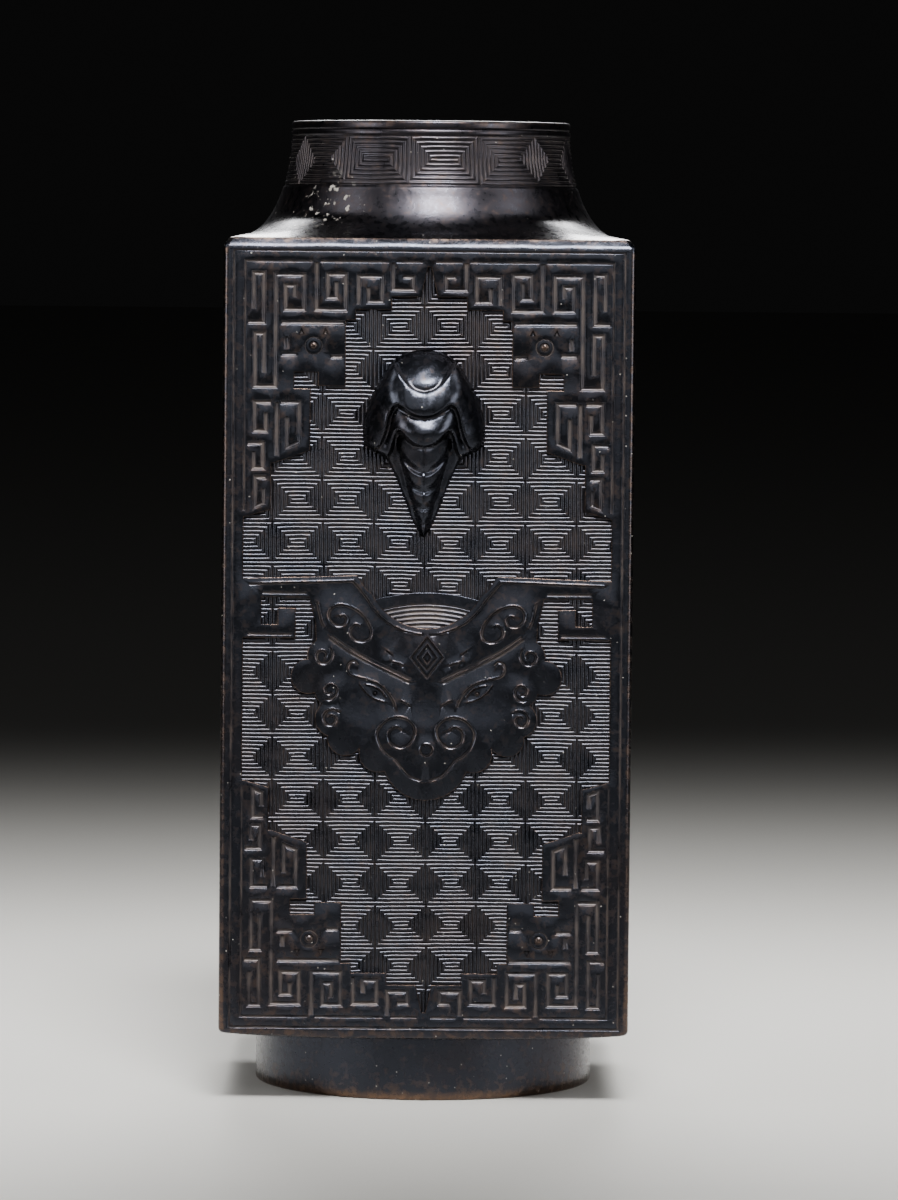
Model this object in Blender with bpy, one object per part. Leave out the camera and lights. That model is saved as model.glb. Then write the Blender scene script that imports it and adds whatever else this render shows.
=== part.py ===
"""A cast bronze vase of the cong shape: a square body between a round neck and a round foot.

Each face has a sunk field with key-fret corners and a horned mask standing in it. The front and
the back also carry a cicada in high relief. The vase is one casting, open at the mouth and hollow.
The front looks along -Y, +Z is up and the origin is the middle of the foot's underside.
"""

import math
from collections import namedtuple

import bmesh
import bpy
from mathutils import Matrix, Vector

MM = 0.001

# Main sizes
BODY_WIDTH = 125.0 * MM
BODY_HEIGHT = 244.0 * MM
FOOT_HEIGHT = 20.0 * MM
FOOT_DIAMETER = 105.2 * MM
NECK_HEIGHT = 36.0 * MM
RIM_DIAMETER = 86.8 * MM

# Thickness of the metal
WALL = 4.2 * MM
BASE_PLATE = 4.5 * MM
FOOT_WALL = 5.0 * MM

# Edges and corners
BODY_CORNER_RADIUS = 2.6 * MM
TOP_EDGE_RADIUS = 1.8 * MM
BOTTOM_EDGE_RADIUS = 2.4 * MM
BOTTOM_CORNER_LIFT = 1.6 * MM
SHOULDER_CORNER_CROWN = 0.8 * MM
RIM_EDGE_RADIUS = 0.9 * MM
FOOT_CHAMFER = 1.0 * MM
INNER_CORNER_RADIUS = 3.0 * MM
# A rounded edge has one ring of points on its arc, this share of its radius in from both faces
EDGE_EASE = 0.293

# The neck's hollow curve is a quarter of a superellipse with this exponent
NECK_CURVE_POWER = 2.15

# Relief on the four faces
FIELD_DEPTH = 1.0 * MM
BORDER_WIDTH = 6.7 * MM
BORDER_HEIGHT = 7.0 * MM
BORDER_LINE_INSET = 3.6 * MM
LINE_WIDTH = 0.6 * MM
LINE_DEPTH = 0.4 * MM
LENS_DROP = 0.35 * MM
PLATE_ROOT = 0.9 * MM

# The carving is drawn on a field this many units wide and high, and stretches with the field
FIELD_UNITS_WIDE = 111.6
FIELD_UNITS_HIGH = 230.0
TOP_FRET_SCALE = 1.0
BOTTOM_FRET_SCALE = 0.93

# Lines and collars round the neck, measured down from the rim
NECK_LINE_DROPS = (2.7 * MM, 4.6 * MM, 20.0 * MM)
NECK_LINE_HALF_WIDTH = 0.35 * MM
NECK_LINE_DEPTH = 0.35 * MM

# The cicada
CICADA_LENGTH = 56.8 * MM
CICADA_TOP_DROP = 33.7 * MM
CICADA_PROUD = 13.0 * MM

# How finely round shapes are divided
EDGE_STEPS = 4
CORNER_STEPS = 4
SIDE_POINTS = 2 * EDGE_STEPS + CORNER_STEPS
RING_POINTS = 4 * SIDE_POINTS
NECK_STEPS = 7
ARC_TOLERANCE = 0.25
SHARP_ANGLE = math.radians(38.0)
ROWS_PER_RING = 3
CICADA_COLUMNS = 12

BODY_HALF = BODY_WIDTH / 2
RIM_RADIUS = RIM_DIAMETER / 2
FOOT_RADIUS = FOOT_DIAMETER / 2
BODY_TOP = FOOT_HEIGHT + BODY_HEIGHT
RIM_TOP = BODY_TOP + NECK_HEIGHT
INNER_HALF = BODY_HALF - WALL
FACE_MIDDLE = FOOT_HEIGHT + BODY_HEIGHT / 2
FIELD_HALF_WIDTH = BODY_HALF - BORDER_WIDTH
FIELD_HALF_HEIGHT = BODY_HEIGHT / 2 - BORDER_HEIGHT

# One height of the shell. reach is the distance from the axis to the middle of a side, square
# goes from 0 for a circle to 1 for a square, and lift is how far the corners rise.
Section = namedtuple("Section", "height reach square lift", defaults=(0.0, 0.0))


def clear_scene():
    for obj in list(bpy.data.objects):
        bpy.data.objects.remove(obj)


def bronze():
    """Dark brown patinated bronze."""
    material = bpy.data.materials.new("patinated_bronze")
    material.use_nodes = True
    shader = material.node_tree.nodes["Principled BSDF"]
    shader.inputs["Base Color"].default_value = (0.030, 0.024, 0.020, 1.0)
    shader.inputs["Metallic"].default_value = 0.85
    shader.inputs["Roughness"].default_value = 0.42
    return material


def new_object(name, bm, helper=False):
    """The object for a finished bmesh. A helper is a cutter or an added form, and isn't a node."""
    mesh = bpy.data.meshes.new(name)
    bm.to_mesh(mesh)
    bm.free()
    mesh.shade_smooth()
    mesh.set_sharp_from_angle(angle=SHARP_ANGLE)
    obj = bpy.data.objects.new(name, mesh)
    bpy.context.scene.collection.objects.link(obj)
    if helper:
        obj.hide_render = True
        obj.display_type = "WIRE"
    return obj


# Shell


def corner_radius(section):
    return min(BODY_CORNER_RADIUS, section.reach)


def ring_point(index, section):
    """Point number index of a section's ring, counted from the middle of the +X side."""
    half_side = SIDE_POINTS // 2
    side, step = divmod(index + half_side, SIDE_POINTS)
    step -= half_side
    turn = math.radians(90.0 * side)
    angle = math.radians(90.0 * step / SIDE_POINTS)
    round_x, round_y = section.reach * math.cos(angle), section.reach * math.sin(angle)

    radius = corner_radius(section)
    straight = section.reach - radius
    away = abs(step)
    if away <= EDGE_STEPS:
        square_x = section.reach
        square_y = straight * math.tan(abs(angle)) / math.tan(math.radians(90.0 * EDGE_STEPS / SIDE_POINTS))
    else:
        bend = math.radians(90.0 * (away - EDGE_STEPS) / CORNER_STEPS)
        square_x = straight + radius * math.cos(bend)
        square_y = straight + radius * math.sin(bend)
    square_y = math.copysign(square_y, step)

    x = round_x + (square_x - round_x) * section.square
    y = round_y + (square_y - round_y) * section.square
    z = section.height + section.lift * (abs(y) / section.reach) ** 3
    return Vector((x * math.cos(turn) - y * math.sin(turn), x * math.sin(turn) + y * math.cos(turn), z))


def loft(sections):
    """A closed skin through the sections' rings, flat at its two ends."""
    bm = bmesh.new()
    ring = bmesh.ops.create_circle(bm, segments=RING_POINTS, radius=1.0)["verts"]
    edges = list(bm.edges)
    ring.sort(key=lambda v: math.atan2(v.co.y, v.co.x) % math.tau)
    first_ring = ring
    for place, section in enumerate(sections):
        if place:
            order = {v.co.to_tuple(): i for i, v in enumerate(ring)}
            made = bmesh.ops.extrude_edge_only(bm, edges=edges)["geom"]
            ring = [g for g in made if isinstance(g, bmesh.types.BMVert)]
            edges = [g for g in made if isinstance(g, bmesh.types.BMEdge)]
            ring.sort(key=lambda v: order[v.co.to_tuple()])
        for index, vert in enumerate(ring):
            vert.co = ring_point(index, section)
    bm.faces.new(first_ring)
    bm.faces.new(ring)
    bmesh.ops.recalc_face_normals(bm, faces=bm.faces)
    return bm


def neck_curve(share):
    """(reach, height) on the neck's outer curve, from 0 at the body's top edge to 1 at the rim."""
    angle = math.radians(90.0 * share)
    power = 2.0 / NECK_CURVE_POWER
    start = BODY_HALF - TOP_EDGE_RADIUS
    run = math.sin(angle) ** power if share > 0.0 else 0.0
    drop = math.cos(angle) ** power if share < 1.0 else 0.0
    return start - (start - RIM_RADIUS) * run, BODY_TOP + NECK_HEIGHT * (1.0 - drop)


def squareness(share):
    """The shoulder turns from square to round over the first two fifths of the neck's curve."""
    left = max(0.0, 1.0 - share / 0.42)
    return left * left * (3.0 - 2.0 * left)


def outer_neck():
    sections = []
    for step in range(NECK_STEPS):
        share = step / NECK_STEPS
        reach, height = neck_curve(share)
        crown = SHOULDER_CORNER_CROWN if step == 1 else 0.0
        sections.append(Section(height, reach, squareness(share), crown))
    reach, height = neck_curve(0.93)
    sections.append(Section(height, reach))
    return sections


def inner_neck():
    """The outer curve moved inwards by the wall, square to the curve."""
    sections = []
    widest = INNER_HALF - INNER_CORNER_RADIUS / 2
    for step in range(1, NECK_STEPS, 2):
        share = step / NECK_STEPS
        (before_x, before_z), (after_x, after_z) = neck_curve(share - 0.02), neck_curve(share + 0.02)
        along = math.hypot(after_x - before_x, after_z - before_z)
        reach, height = neck_curve(share)
        reach = min(widest, reach - WALL * (after_z - before_z) / along)
        height -= WALL * (before_x - after_x) / along
        sections.append(Section(height, reach, squareness(share)))
    return sections


def shell_sections():
    """From the middle of the inside floor, up inside, over the rim, down outside, and under the foot."""
    floor_top = FOOT_HEIGHT + BASE_PLATE
    ceiling = BODY_TOP - WALL - INNER_CORNER_RADIUS
    inside = [
        Section(floor_top, INNER_HALF - INNER_CORNER_RADIUS, 1.0),
        Section(floor_top + INNER_CORNER_RADIUS, INNER_HALF, 1.0),
        Section(ceiling, INNER_HALF, 1.0),
    ]
    bore = RIM_RADIUS - WALL
    rim_ease = EDGE_EASE * RIM_EDGE_RADIUS
    rim = [
        Section(RIM_TOP - RIM_EDGE_RADIUS, bore),
        Section(RIM_TOP, bore + RIM_EDGE_RADIUS),
        Section(RIM_TOP, RIM_RADIUS - RIM_EDGE_RADIUS),
        Section(RIM_TOP - rim_ease, RIM_RADIUS - rim_ease),
        Section(RIM_TOP - RIM_EDGE_RADIUS, RIM_RADIUS),
    ]
    low = FOOT_HEIGHT
    top_ease, bottom_ease = EDGE_EASE * TOP_EDGE_RADIUS, EDGE_EASE * BOTTOM_EDGE_RADIUS
    body = [
        Section(BODY_TOP - top_ease, BODY_HALF - top_ease, 1.0),
        Section(BODY_TOP - TOP_EDGE_RADIUS, BODY_HALF, 1.0),
        Section(low + BOTTOM_EDGE_RADIUS, BODY_HALF, 1.0, 0.5 * BOTTOM_CORNER_LIFT),
        Section(low + bottom_ease, BODY_HALF - bottom_ease, 1.0, 0.85 * BOTTOM_CORNER_LIFT),
        Section(low, BODY_HALF - BOTTOM_EDGE_RADIUS, 1.0, BOTTOM_CORNER_LIFT),
    ]
    recess = FOOT_RADIUS - FOOT_WALL
    foot = [
        Section(low, FOOT_RADIUS),
        Section(FOOT_CHAMFER, FOOT_RADIUS),
        Section(0.0, FOOT_RADIUS - FOOT_CHAMFER),
        Section(0.0, recess),
        Section(FOOT_HEIGHT, recess),
    ]
    return inside + inner_neck() + rim + outer_neck()[::-1] + body + foot


# Flat forms, drawn on a face


def on_face(side):
    """Carries (across, up, out) on a face to the vase's own frame. Side 0 is the front."""
    axes = Matrix(((1, 0, 0, 0), (0, 0, -1, -BODY_HALF), (0, 1, 0, FACE_MIDDLE), (0, 0, 0, 1)))
    return Matrix.Rotation(math.radians(90.0 * side), 4, "Z") @ axes


def scaled(points):
    """Points in carving units, made metres on the face."""
    wide = 2 * FIELD_HALF_WIDTH / FIELD_UNITS_WIDE
    high = 2 * FIELD_HALF_HEIGHT / FIELD_UNITS_HIGH
    return [(across * wide, up * high) for across, up in points]


def mirrored(points):
    return [(-across, up) for across, up in reversed(points)]


def arc(centre, radius, start_deg, end_deg):
    """Points along an arc, both ends included."""
    step_deg = 2.0 * math.degrees(math.acos(1.0 - ARC_TOLERANCE / radius))
    steps = max(2, math.ceil(abs(end_deg - start_deg) / step_deg))
    angles = [math.radians(start_deg + (end_deg - start_deg) * i / steps) for i in range(steps + 1)]
    return [(centre[0] + radius * math.cos(a), centre[1] + radius * math.sin(a)) for a in angles]


def add_prism(bm, outline, low, high, matrix):
    """A flat plate with this outline, from low to high out of the face."""
    verts = [bm.verts.new((across, up, low)) for across, up in outline]
    face = bm.faces.new(verts)
    made = bmesh.ops.extrude_face_region(bm, geom=[face], use_keep_orig=True)["geom"]
    raised = [g for g in made if isinstance(g, bmesh.types.BMVert)]
    bmesh.ops.translate(bm, verts=raised, vec=(0, 0, high - low))
    bmesh.ops.transform(bm, matrix=matrix, verts=verts + raised)


def stroke(points, width):
    """The outline of a line of this width through points, with mitred corners and square ends."""
    path = [Vector(p) for p in points]
    left, right = [], []
    for i, point in enumerate(path):
        ways = []
        if i:
            ways.append((point - path[i - 1]).normalized())
        if i < len(path) - 1:
            ways.append((path[i + 1] - point).normalized())
        mean = sum(ways, Vector((0, 0))).normalized()
        out = Vector((-mean.y, mean.x)) * (width / 2 / max(0.3, mean.dot(ways[0])))
        left.append(tuple(point + out))
        right.append(tuple(point - out))
    return left + right[::-1]


# Key-fret corner


def fret_outline(up_sign, scale):
    """The plate in the left corner of the field, at the top for up_sign 1 and the bottom for -1."""
    over = 1.2
    edge, top = FIELD_UNITS_WIDE / 2, FIELD_UNITS_HIGH / 2
    drops = [
        (-edge - over, -over),
        (-0.8, -over),
        (-0.8, 1.6),
        (-2.4, 10.7),
        (-11.3, 10.7),
        (-11.3, 14.6),
        (-22.2, 14.6),
        (-22.2, 17.8),
        (-25.2, 17.8),
        (-25.2, 37.8),
        (-33.6, 37.8),
        (-33.6, 33.7),
        (-40.8, 33.7),
        (-40.8, 38.6),
        (-35.8, 38.6),
        (-35.8, 57.4),
        (-47.6, 61.6),
        (-47.6, 75.4),
        (-edge - over, 77.8),
    ]
    return [(across, up_sign * (top - drop * scale)) for across, drop in drops]


# Horned mask


HORN_CURVE_CENTRE = (0.0, 22.2)
HORN_CURVE_RADIUS = 18.4
MASK_LOBES = (
    ((-31.3, -4.5), 4.9),
    ((-35.8, -11.0), 5.4),
    ((-29.0, -15.2), 5.0),
    ((-28.2, -23.8), 5.6),
    ((-24.6, -29.8), 5.4),
    ((-14.5, -34.4), 5.8),
    ((0.0, -35.5), 13.2),
)


def lobe_meeting(first, second):
    """Where two lobes' circles cross, on the side away from the mask's middle."""
    (ax, ay), ar = first
    (bx, by), br = second
    gap = math.hypot(bx - ax, by - ay)
    along = (ar * ar - br * br + gap * gap) / (2 * gap)
    aside = math.sqrt(max(0.0, ar * ar - along * along))
    ux, uy = (bx - ax) / gap, (by - ay) / gap
    middle = Vector((0.0, -15.0))
    crossings = [
        Vector((ax + ux * along - s * uy * aside, ay + uy * along + s * ux * aside)) for s in (1, -1)
    ]
    return max(crossings, key=lambda p: (p - middle).length)


def lobed_edge():
    """The mask's left edge, from under the horn to the bottom of the chin."""
    points = []
    start = 118.0
    for i, (centre, radius) in enumerate(MASK_LOBES):
        if i + 1 < len(MASK_LOBES):
            meet = lobe_meeting(MASK_LOBES[i], MASK_LOBES[i + 1])
            end = math.degrees(math.atan2(meet.y - centre[1], meet.x - centre[0])) % 360.0
        else:
            end = 270.0
        points += arc(centre, radius, start, end)[:-1]
        if i + 1 < len(MASK_LOBES):
            following = MASK_LOBES[i + 1][0]
            start = math.degrees(math.atan2(meet.y - following[1], meet.x - following[0])) % 360.0
    return points


def mask_outline():
    """Anticlockwise from the middle of the brow, over the left horn and its hook, to the chin."""
    edge = FIELD_UNITS_WIDE / 2 + 1.2
    left = arc(HORN_CURVE_CENTRE, HORN_CURVE_RADIUS, 270.0, 207.0)
    left += [(-18.7, 15.9), (-21.3, 19.8), (-edge, 18.6)]
    left += [(-edge, 0.6), (-39.8, 0.6), (-39.8, 10.2), (-45.3, 10.2), (-45.3, 5.0), (-50.2, 5.0)]
    left += [(-50.2, 14.3), (-35.9, 14.3), (-34.9, 9.5), (-33.8, 5.2)]
    left += lobed_edge()
    chin_middle = (0.0, MASK_LOBES[-1][0][1] - MASK_LOBES[-1][1])
    return left + [chin_middle] + mirrored(left[1:])


def lens_outline():
    """The sliver of a disc that shows between the horns."""
    radius, rise = 55.0, 14.8
    half = math.degrees(math.asin(16.4 / radius))
    top = arc((0.0, rise - radius), radius, 90.0 - half, 90.0 + half)
    return top + [(-10.0, 5.0), (0.0, 2.0), (10.0, 5.0)]


def eye_outline(side):
    points = [(-20.6, -11.9), (-16.8, -12.9), (-12.9, -15.2), (-10.0, -19.6), (-14.3, -18.2), (-17.6, -15.4)]
    return points if side < 0 else mirrored(points)


def engraved_strokes():
    """Centre lines of the mask's main cuts, all on its left half but the middle ones."""
    brow = [(-32.0, 1.6), (-29.0, 0.4), (-24.6, -3.2), (-19.6, -6.2), (-14.6, -8.6), (-4.6, -13.0)]
    nose = arc((-7.9, -29.6), 6.3, 35.0, 205.0) + [(-12.9, -33.2), (-9.2, -36.0), (-6.2, -39.6), (-1.4, -42.6)]
    return [brow, nose]


def add_face_plates(bm, side):
    matrix = on_face(side)
    low = -(FIELD_DEPTH + PLATE_ROOT)
    add_prism(bm, scaled(mask_outline()), low, 0.0, matrix)
    for up_sign, scale in ((1, TOP_FRET_SCALE), (-1, BOTTOM_FRET_SCALE)):
        left = fret_outline(up_sign, scale)
        add_prism(bm, scaled(left), low, 0.0, matrix)
        add_prism(bm, scaled(mirrored(left)), low, 0.0, matrix)


def plates():
    bm = bmesh.new()
    for side in range(4):
        add_face_plates(bm, side)
    bmesh.ops.recalc_face_normals(bm, faces=bm.faces)
    return new_object("relief_plates", bm, helper=True)


def lenses():
    bm = bmesh.new()
    for side in range(4):
        add_prism(bm, scaled(lens_outline()), -(FIELD_DEPTH + PLATE_ROOT), -LENS_DROP, on_face(side))
    bmesh.ops.recalc_face_normals(bm, faces=bm.faces)
    return new_object("relief_lenses", bm, helper=True)


def field_cutter():
    """Sinks the field of each face."""
    half_w, half_h = FIELD_HALF_WIDTH, FIELD_HALF_HEIGHT
    outline = [(-half_w, -half_h), (half_w, -half_h), (half_w, half_h), (-half_w, half_h)]
    bm = bmesh.new()
    for side in range(4):
        add_prism(bm, outline, -FIELD_DEPTH, BORDER_WIDTH, on_face(side))
    bmesh.ops.recalc_face_normals(bm, faces=bm.faces)
    return new_object("field_cutter", bm, helper=True)


def add_border_line(bm, matrix):
    """A frame-shaped cutter for the line that runs round a face."""
    half_w, half_h = BODY_HALF - BORDER_LINE_INSET, BODY_HEIGHT / 2 - BORDER_LINE_INSET
    signs = ((-1, -1), (1, -1), (1, 1), (-1, 1))
    rings = []
    for depth, grow in (
        (-LINE_DEPTH, -LINE_WIDTH / 2),
        (-LINE_DEPTH, LINE_WIDTH / 2),
        (BORDER_WIDTH, LINE_WIDTH / 2),
        (BORDER_WIDTH, -LINE_WIDTH / 2),
    ):
        rings.append([bm.verts.new((x * (half_w + grow), y * (half_h + grow), depth)) for x, y in signs])
    for first, second in zip(rings, rings[1:] + rings[:1]):
        for i in range(4):
            j = (i + 1) % 4
            bm.faces.new((first[i], first[j], second[j], second[i]))
    bmesh.ops.transform(bm, matrix=matrix, verts=[v for ring in rings for v in ring])


def line_cutter():
    """The border line of each face and the mask's brow, nose and eyes."""
    bm = bmesh.new()
    for side in range(4):
        matrix = on_face(side)
        add_border_line(bm, matrix)
        for line in engraved_strokes():
            for points in (line, mirrored(line)):
                add_prism(bm, stroke(scaled(points), LINE_WIDTH), -LINE_DEPTH, BORDER_WIDTH, matrix)
        for hand in (-1, 1):
            add_prism(bm, scaled(eye_outline(hand)), -LINE_DEPTH, BORDER_WIDTH, matrix)
    bmesh.ops.recalc_face_normals(bm, faces=bm.faces)
    return new_object("line_cutter", bm, helper=True)


# Cicada


# Shares of the cicada's length from its head: the outline's half width with the wings, the
# body's half width, and how far the back stands out as a share of the most it does.
CICADA_OUTLINE = (
    (0.0, 0.045),
    (0.012, 0.075),
    (0.035, 0.128),
    (0.075, 0.168),
    (0.16, 0.232),
    (0.25, 0.283),
    (0.36, 0.313),
    (0.46, 0.322),
    (0.515, 0.316),
    (0.535, 0.245),
    (0.62, 0.178),
    (0.71, 0.137),
    (0.78, 0.111),
    (0.87, 0.077),
    (0.95, 0.042),
    (1.0, 0.008),
)
CICADA_BODY = (
    (0.0, 0.045),
    (0.012, 0.075),
    (0.035, 0.122),
    (0.075, 0.158),
    (0.16, 0.180),
    (0.24, 0.188),
    (0.35, 0.180),
    (0.50, 0.158),
    (0.62, 0.122),
    (0.78, 0.080),
    (0.92, 0.036),
    (1.0, 0.004),
)
CICADA_BACK = (
    (0.0, 0.06),
    (0.03, 0.42),
    (0.08, 0.68),
    (0.14, 0.86),
    (0.20, 0.97),
    (0.26, 1.0),
    (0.36, 0.90),
    (0.43, 0.87),
    (0.51, 0.74),
    (0.64, 0.56),
    (0.84, 0.31),
    (0.95, 0.15),
    (1.0, 0.05),
)
# Where the creases between the rings of its body cross the middle line, and how much each bows
# up towards the sides
CICADA_CREASES = (
    (0.0, 0.0),
    (0.21, 4.3),
    (0.363, 2.8),
    (0.51, 3.7),
    (0.64, 4.4),
    (0.745, 4.6),
    (0.84, 4.6),
    (1.0, 4.6),
)
CREASE_DEPTH = 0.16
RING_CREST = 0.7
WING_SHOULDER = 0.46
WING_EDGE = 0.14
WING_TIP = 0.525


def read_curve(table, share):
    """The table's value at share, on straight runs between its points."""
    for (x0, y0), (x1, y1) in zip(table, table[1:]):
        if share <= x1:
            return y0 + (y1 - y0) * (share - x0) / (x1 - x0)
    return table[-1][1]


def cicada_row(row):
    """(place on the middle line, bow, swell) of a row. Swell is 0 in a crease, 1 on a ring's crest."""
    ring, step = divmod(row, ROWS_PER_RING)
    if ring == len(CICADA_CREASES) - 1:
        return (*CICADA_CREASES[-1], 0.0)
    (start, start_bow), (end, end_bow) = CICADA_CREASES[ring], CICADA_CREASES[ring + 1]
    share = step / ROWS_PER_RING
    swell = math.sin(math.pi * share**RING_CREST) ** 0.5
    return start + (end - start) * share, start_bow + (end_bow - start_bow) * share, swell


def cicada_point(row, sideways):
    """(across, down, out) as shares of the length, the length and the most it stands out."""
    middle, bow, swell = cicada_row(row)
    down = middle
    for _ in range(6):
        across = abs(sideways) * read_curve(CICADA_OUTLINE, down)
        down = max(0.0, middle - bow * min(across, read_curve(CICADA_BODY, middle)) ** 2)
    half = read_curve(CICADA_BODY, down)
    side = min(1.0, across / half)
    back = read_curve(CICADA_BACK, middle) * (1.0 - side**2.6) ** 0.5
    back *= 1.0 - CREASE_DEPTH * (1.0 - swell)
    wing = 0.0
    if down < WING_TIP:
        reach = max(0.0, across - half) / max(1e-6, read_curve(CICADA_OUTLINE, down) - half)
        wing = WING_SHOULDER + (WING_EDGE - WING_SHOULDER) * min(1.0, reach) ** 1.5
    return math.copysign(across, sideways), down, max(back, min(wing, read_curve(CICADA_BACK, down)))


def cicada(name, side):
    """A closed form, rooted in the wall."""
    rows = ROWS_PER_RING * (len(CICADA_CREASES) - 1)
    bm = bmesh.new()
    bmesh.ops.create_grid(bm, x_segments=CICADA_COLUMNS, y_segments=rows, size=1.0)
    for vert in bm.verts:
        row = round((1.0 - vert.co.y) / 2.0 * rows)
        across, down, out = cicada_point(row, math.sin(vert.co.x * math.pi / 2))
        up = BODY_HEIGHT / 2 - CICADA_TOP_DROP - down * CICADA_LENGTH
        height = -PLATE_ROOT / 2 if vert.is_boundary else out * CICADA_PROUD
        vert.co = (across * CICADA_LENGTH, up, height - FIELD_DEPTH)
    made = bmesh.ops.extrude_face_region(bm, geom=list(bm.faces), use_keep_orig=True)["geom"]
    for vert in [g for g in made if isinstance(g, bmesh.types.BMVert)]:
        vert.co.z = -(FIELD_DEPTH + PLATE_ROOT)
    bmesh.ops.recalc_face_normals(bm, faces=bm.faces)
    bmesh.ops.transform(bm, matrix=on_face(side), verts=bm.verts)
    return new_object(name, bm, helper=True)


# Neck lines


def neck_line_cutter():
    """Shallow V-shaped lines turned round the neck."""
    bm = bmesh.new()
    for drop in NECK_LINE_DROPS:
        height = RIM_TOP - drop
        reach = min(
            (abs(neck_curve(i / 200)[1] - height), neck_curve(i / 200)[0]) for i in range(201)
        )[1]
        deep, out = reach - NECK_LINE_DEPTH, reach + 3 * NECK_LINE_DEPTH
        corners = ((deep, 0.0), (out, -4 * NECK_LINE_HALF_WIDTH), (out, 4 * NECK_LINE_HALF_WIDTH))
        verts = [bm.verts.new((x, 0.0, height + z)) for x, z in corners]
        edges = [bm.edges.new((verts[i], verts[(i + 1) % 3])) for i in range(3)]
        bmesh.ops.spin(
            bm,
            geom=verts + edges,
            cent=(0, 0, 0),
            axis=(0, 0, 1),
            angle=math.tau,
            steps=RING_POINTS,
            use_merge=True,
        )
    bmesh.ops.recalc_face_normals(bm, faces=bm.faces)
    return new_object("neck_line_cutter", bm, helper=True)


def combine(vase, other, operation):
    modifier = vase.modifiers.new(other.name, "BOOLEAN")
    modifier.operation = operation
    modifier.object = other
    modifier.solver = "EXACT"


def main():
    clear_scene()
    vase = new_object("vase", loft(shell_sections()))
    vase.data.materials.append(bronze())
    combine(vase, field_cutter(), "DIFFERENCE")
    combine(vase, lenses(), "UNION")
    combine(vase, plates(), "UNION")
    combine(vase, line_cutter(), "DIFFERENCE")
    combine(vase, cicada("front_cicada", 0), "UNION")
    combine(vase, cicada("back_cicada", 2), "UNION")
    combine(vase, neck_line_cutter(), "DIFFERENCE")


main()
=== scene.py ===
"""Dresses the packed square vase: its carved bronze skin, cicadas, studio and camera.

Lengths are in metres in the vase's own frame: +Z up, the front towards -Y, the origin under the
middle of the foot. Carving is drawn in millimetres on a face, u to the right and v up from the
face's middle.
"""

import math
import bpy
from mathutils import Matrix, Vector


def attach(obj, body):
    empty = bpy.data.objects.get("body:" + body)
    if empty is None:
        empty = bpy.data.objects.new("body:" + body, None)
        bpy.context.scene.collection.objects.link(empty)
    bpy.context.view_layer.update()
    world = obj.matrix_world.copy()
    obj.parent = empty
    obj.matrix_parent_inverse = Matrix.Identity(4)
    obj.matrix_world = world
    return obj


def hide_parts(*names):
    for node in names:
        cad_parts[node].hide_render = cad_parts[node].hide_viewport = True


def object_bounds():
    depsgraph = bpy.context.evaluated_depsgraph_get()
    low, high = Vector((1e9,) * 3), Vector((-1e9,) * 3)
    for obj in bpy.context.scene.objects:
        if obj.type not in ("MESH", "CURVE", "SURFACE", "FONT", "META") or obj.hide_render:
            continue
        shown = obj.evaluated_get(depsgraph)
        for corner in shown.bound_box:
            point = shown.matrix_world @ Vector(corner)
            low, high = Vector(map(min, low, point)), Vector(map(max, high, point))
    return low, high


bl_info = {
    "name": "Archaistic Bronze Vase",
    "version": (1, 0, 0),
    "blender": (4, 5, 0),
    "location": "3D View > Sidebar > Vase",
    "description": "Models a square cong-shaped bronze vase with carved faces",
    "category": "Add Mesh",
}

from collections import namedtuple

import bmesh
import bpy
from bpy.props import FloatProperty, FloatVectorProperty, PointerProperty
from mathutils import Matrix, Vector, noise

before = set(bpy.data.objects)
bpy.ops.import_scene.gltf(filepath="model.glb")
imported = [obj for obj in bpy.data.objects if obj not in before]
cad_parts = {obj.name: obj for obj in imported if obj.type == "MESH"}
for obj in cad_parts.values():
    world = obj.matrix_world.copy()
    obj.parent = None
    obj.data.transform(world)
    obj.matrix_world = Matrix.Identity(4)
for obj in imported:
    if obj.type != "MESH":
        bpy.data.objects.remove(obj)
CAD_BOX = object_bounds()

NODE = "vase"
MM = 0.001

# The seed of the noise that makes the carved lines waver
SEED = 7


def length(name, description, millimetres):
    """A length that a user may change."""
    return FloatProperty(name=name, description=description, default=millimetres * MM, unit="LENGTH", min=0.0)


def power(name, description, watts):
    """A light's power that a user may change."""
    return FloatProperty(name=name, description=description, default=watts, unit="POWER", min=0.0)


def colour(name, description, code):
    """A colour that a user may change, from its sRGB hex code."""
    return FloatVectorProperty(
        name=name, description=description, default=linear(code), subtype="COLOR", size=4, min=0.0, max=1.0
    )


def linear(code):
    """An sRGB hex code as linear red, green, blue and alpha."""
    channels = []
    for start in (1, 3, 5):
        value = int(code[start : start + 2], 16) / 255
        channels.append(value / 12.92 if value <= 0.04045 else ((value + 0.055) / 1.055) ** 2.4)
    return (*channels, 1.0)


# Sizes and colours


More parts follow.
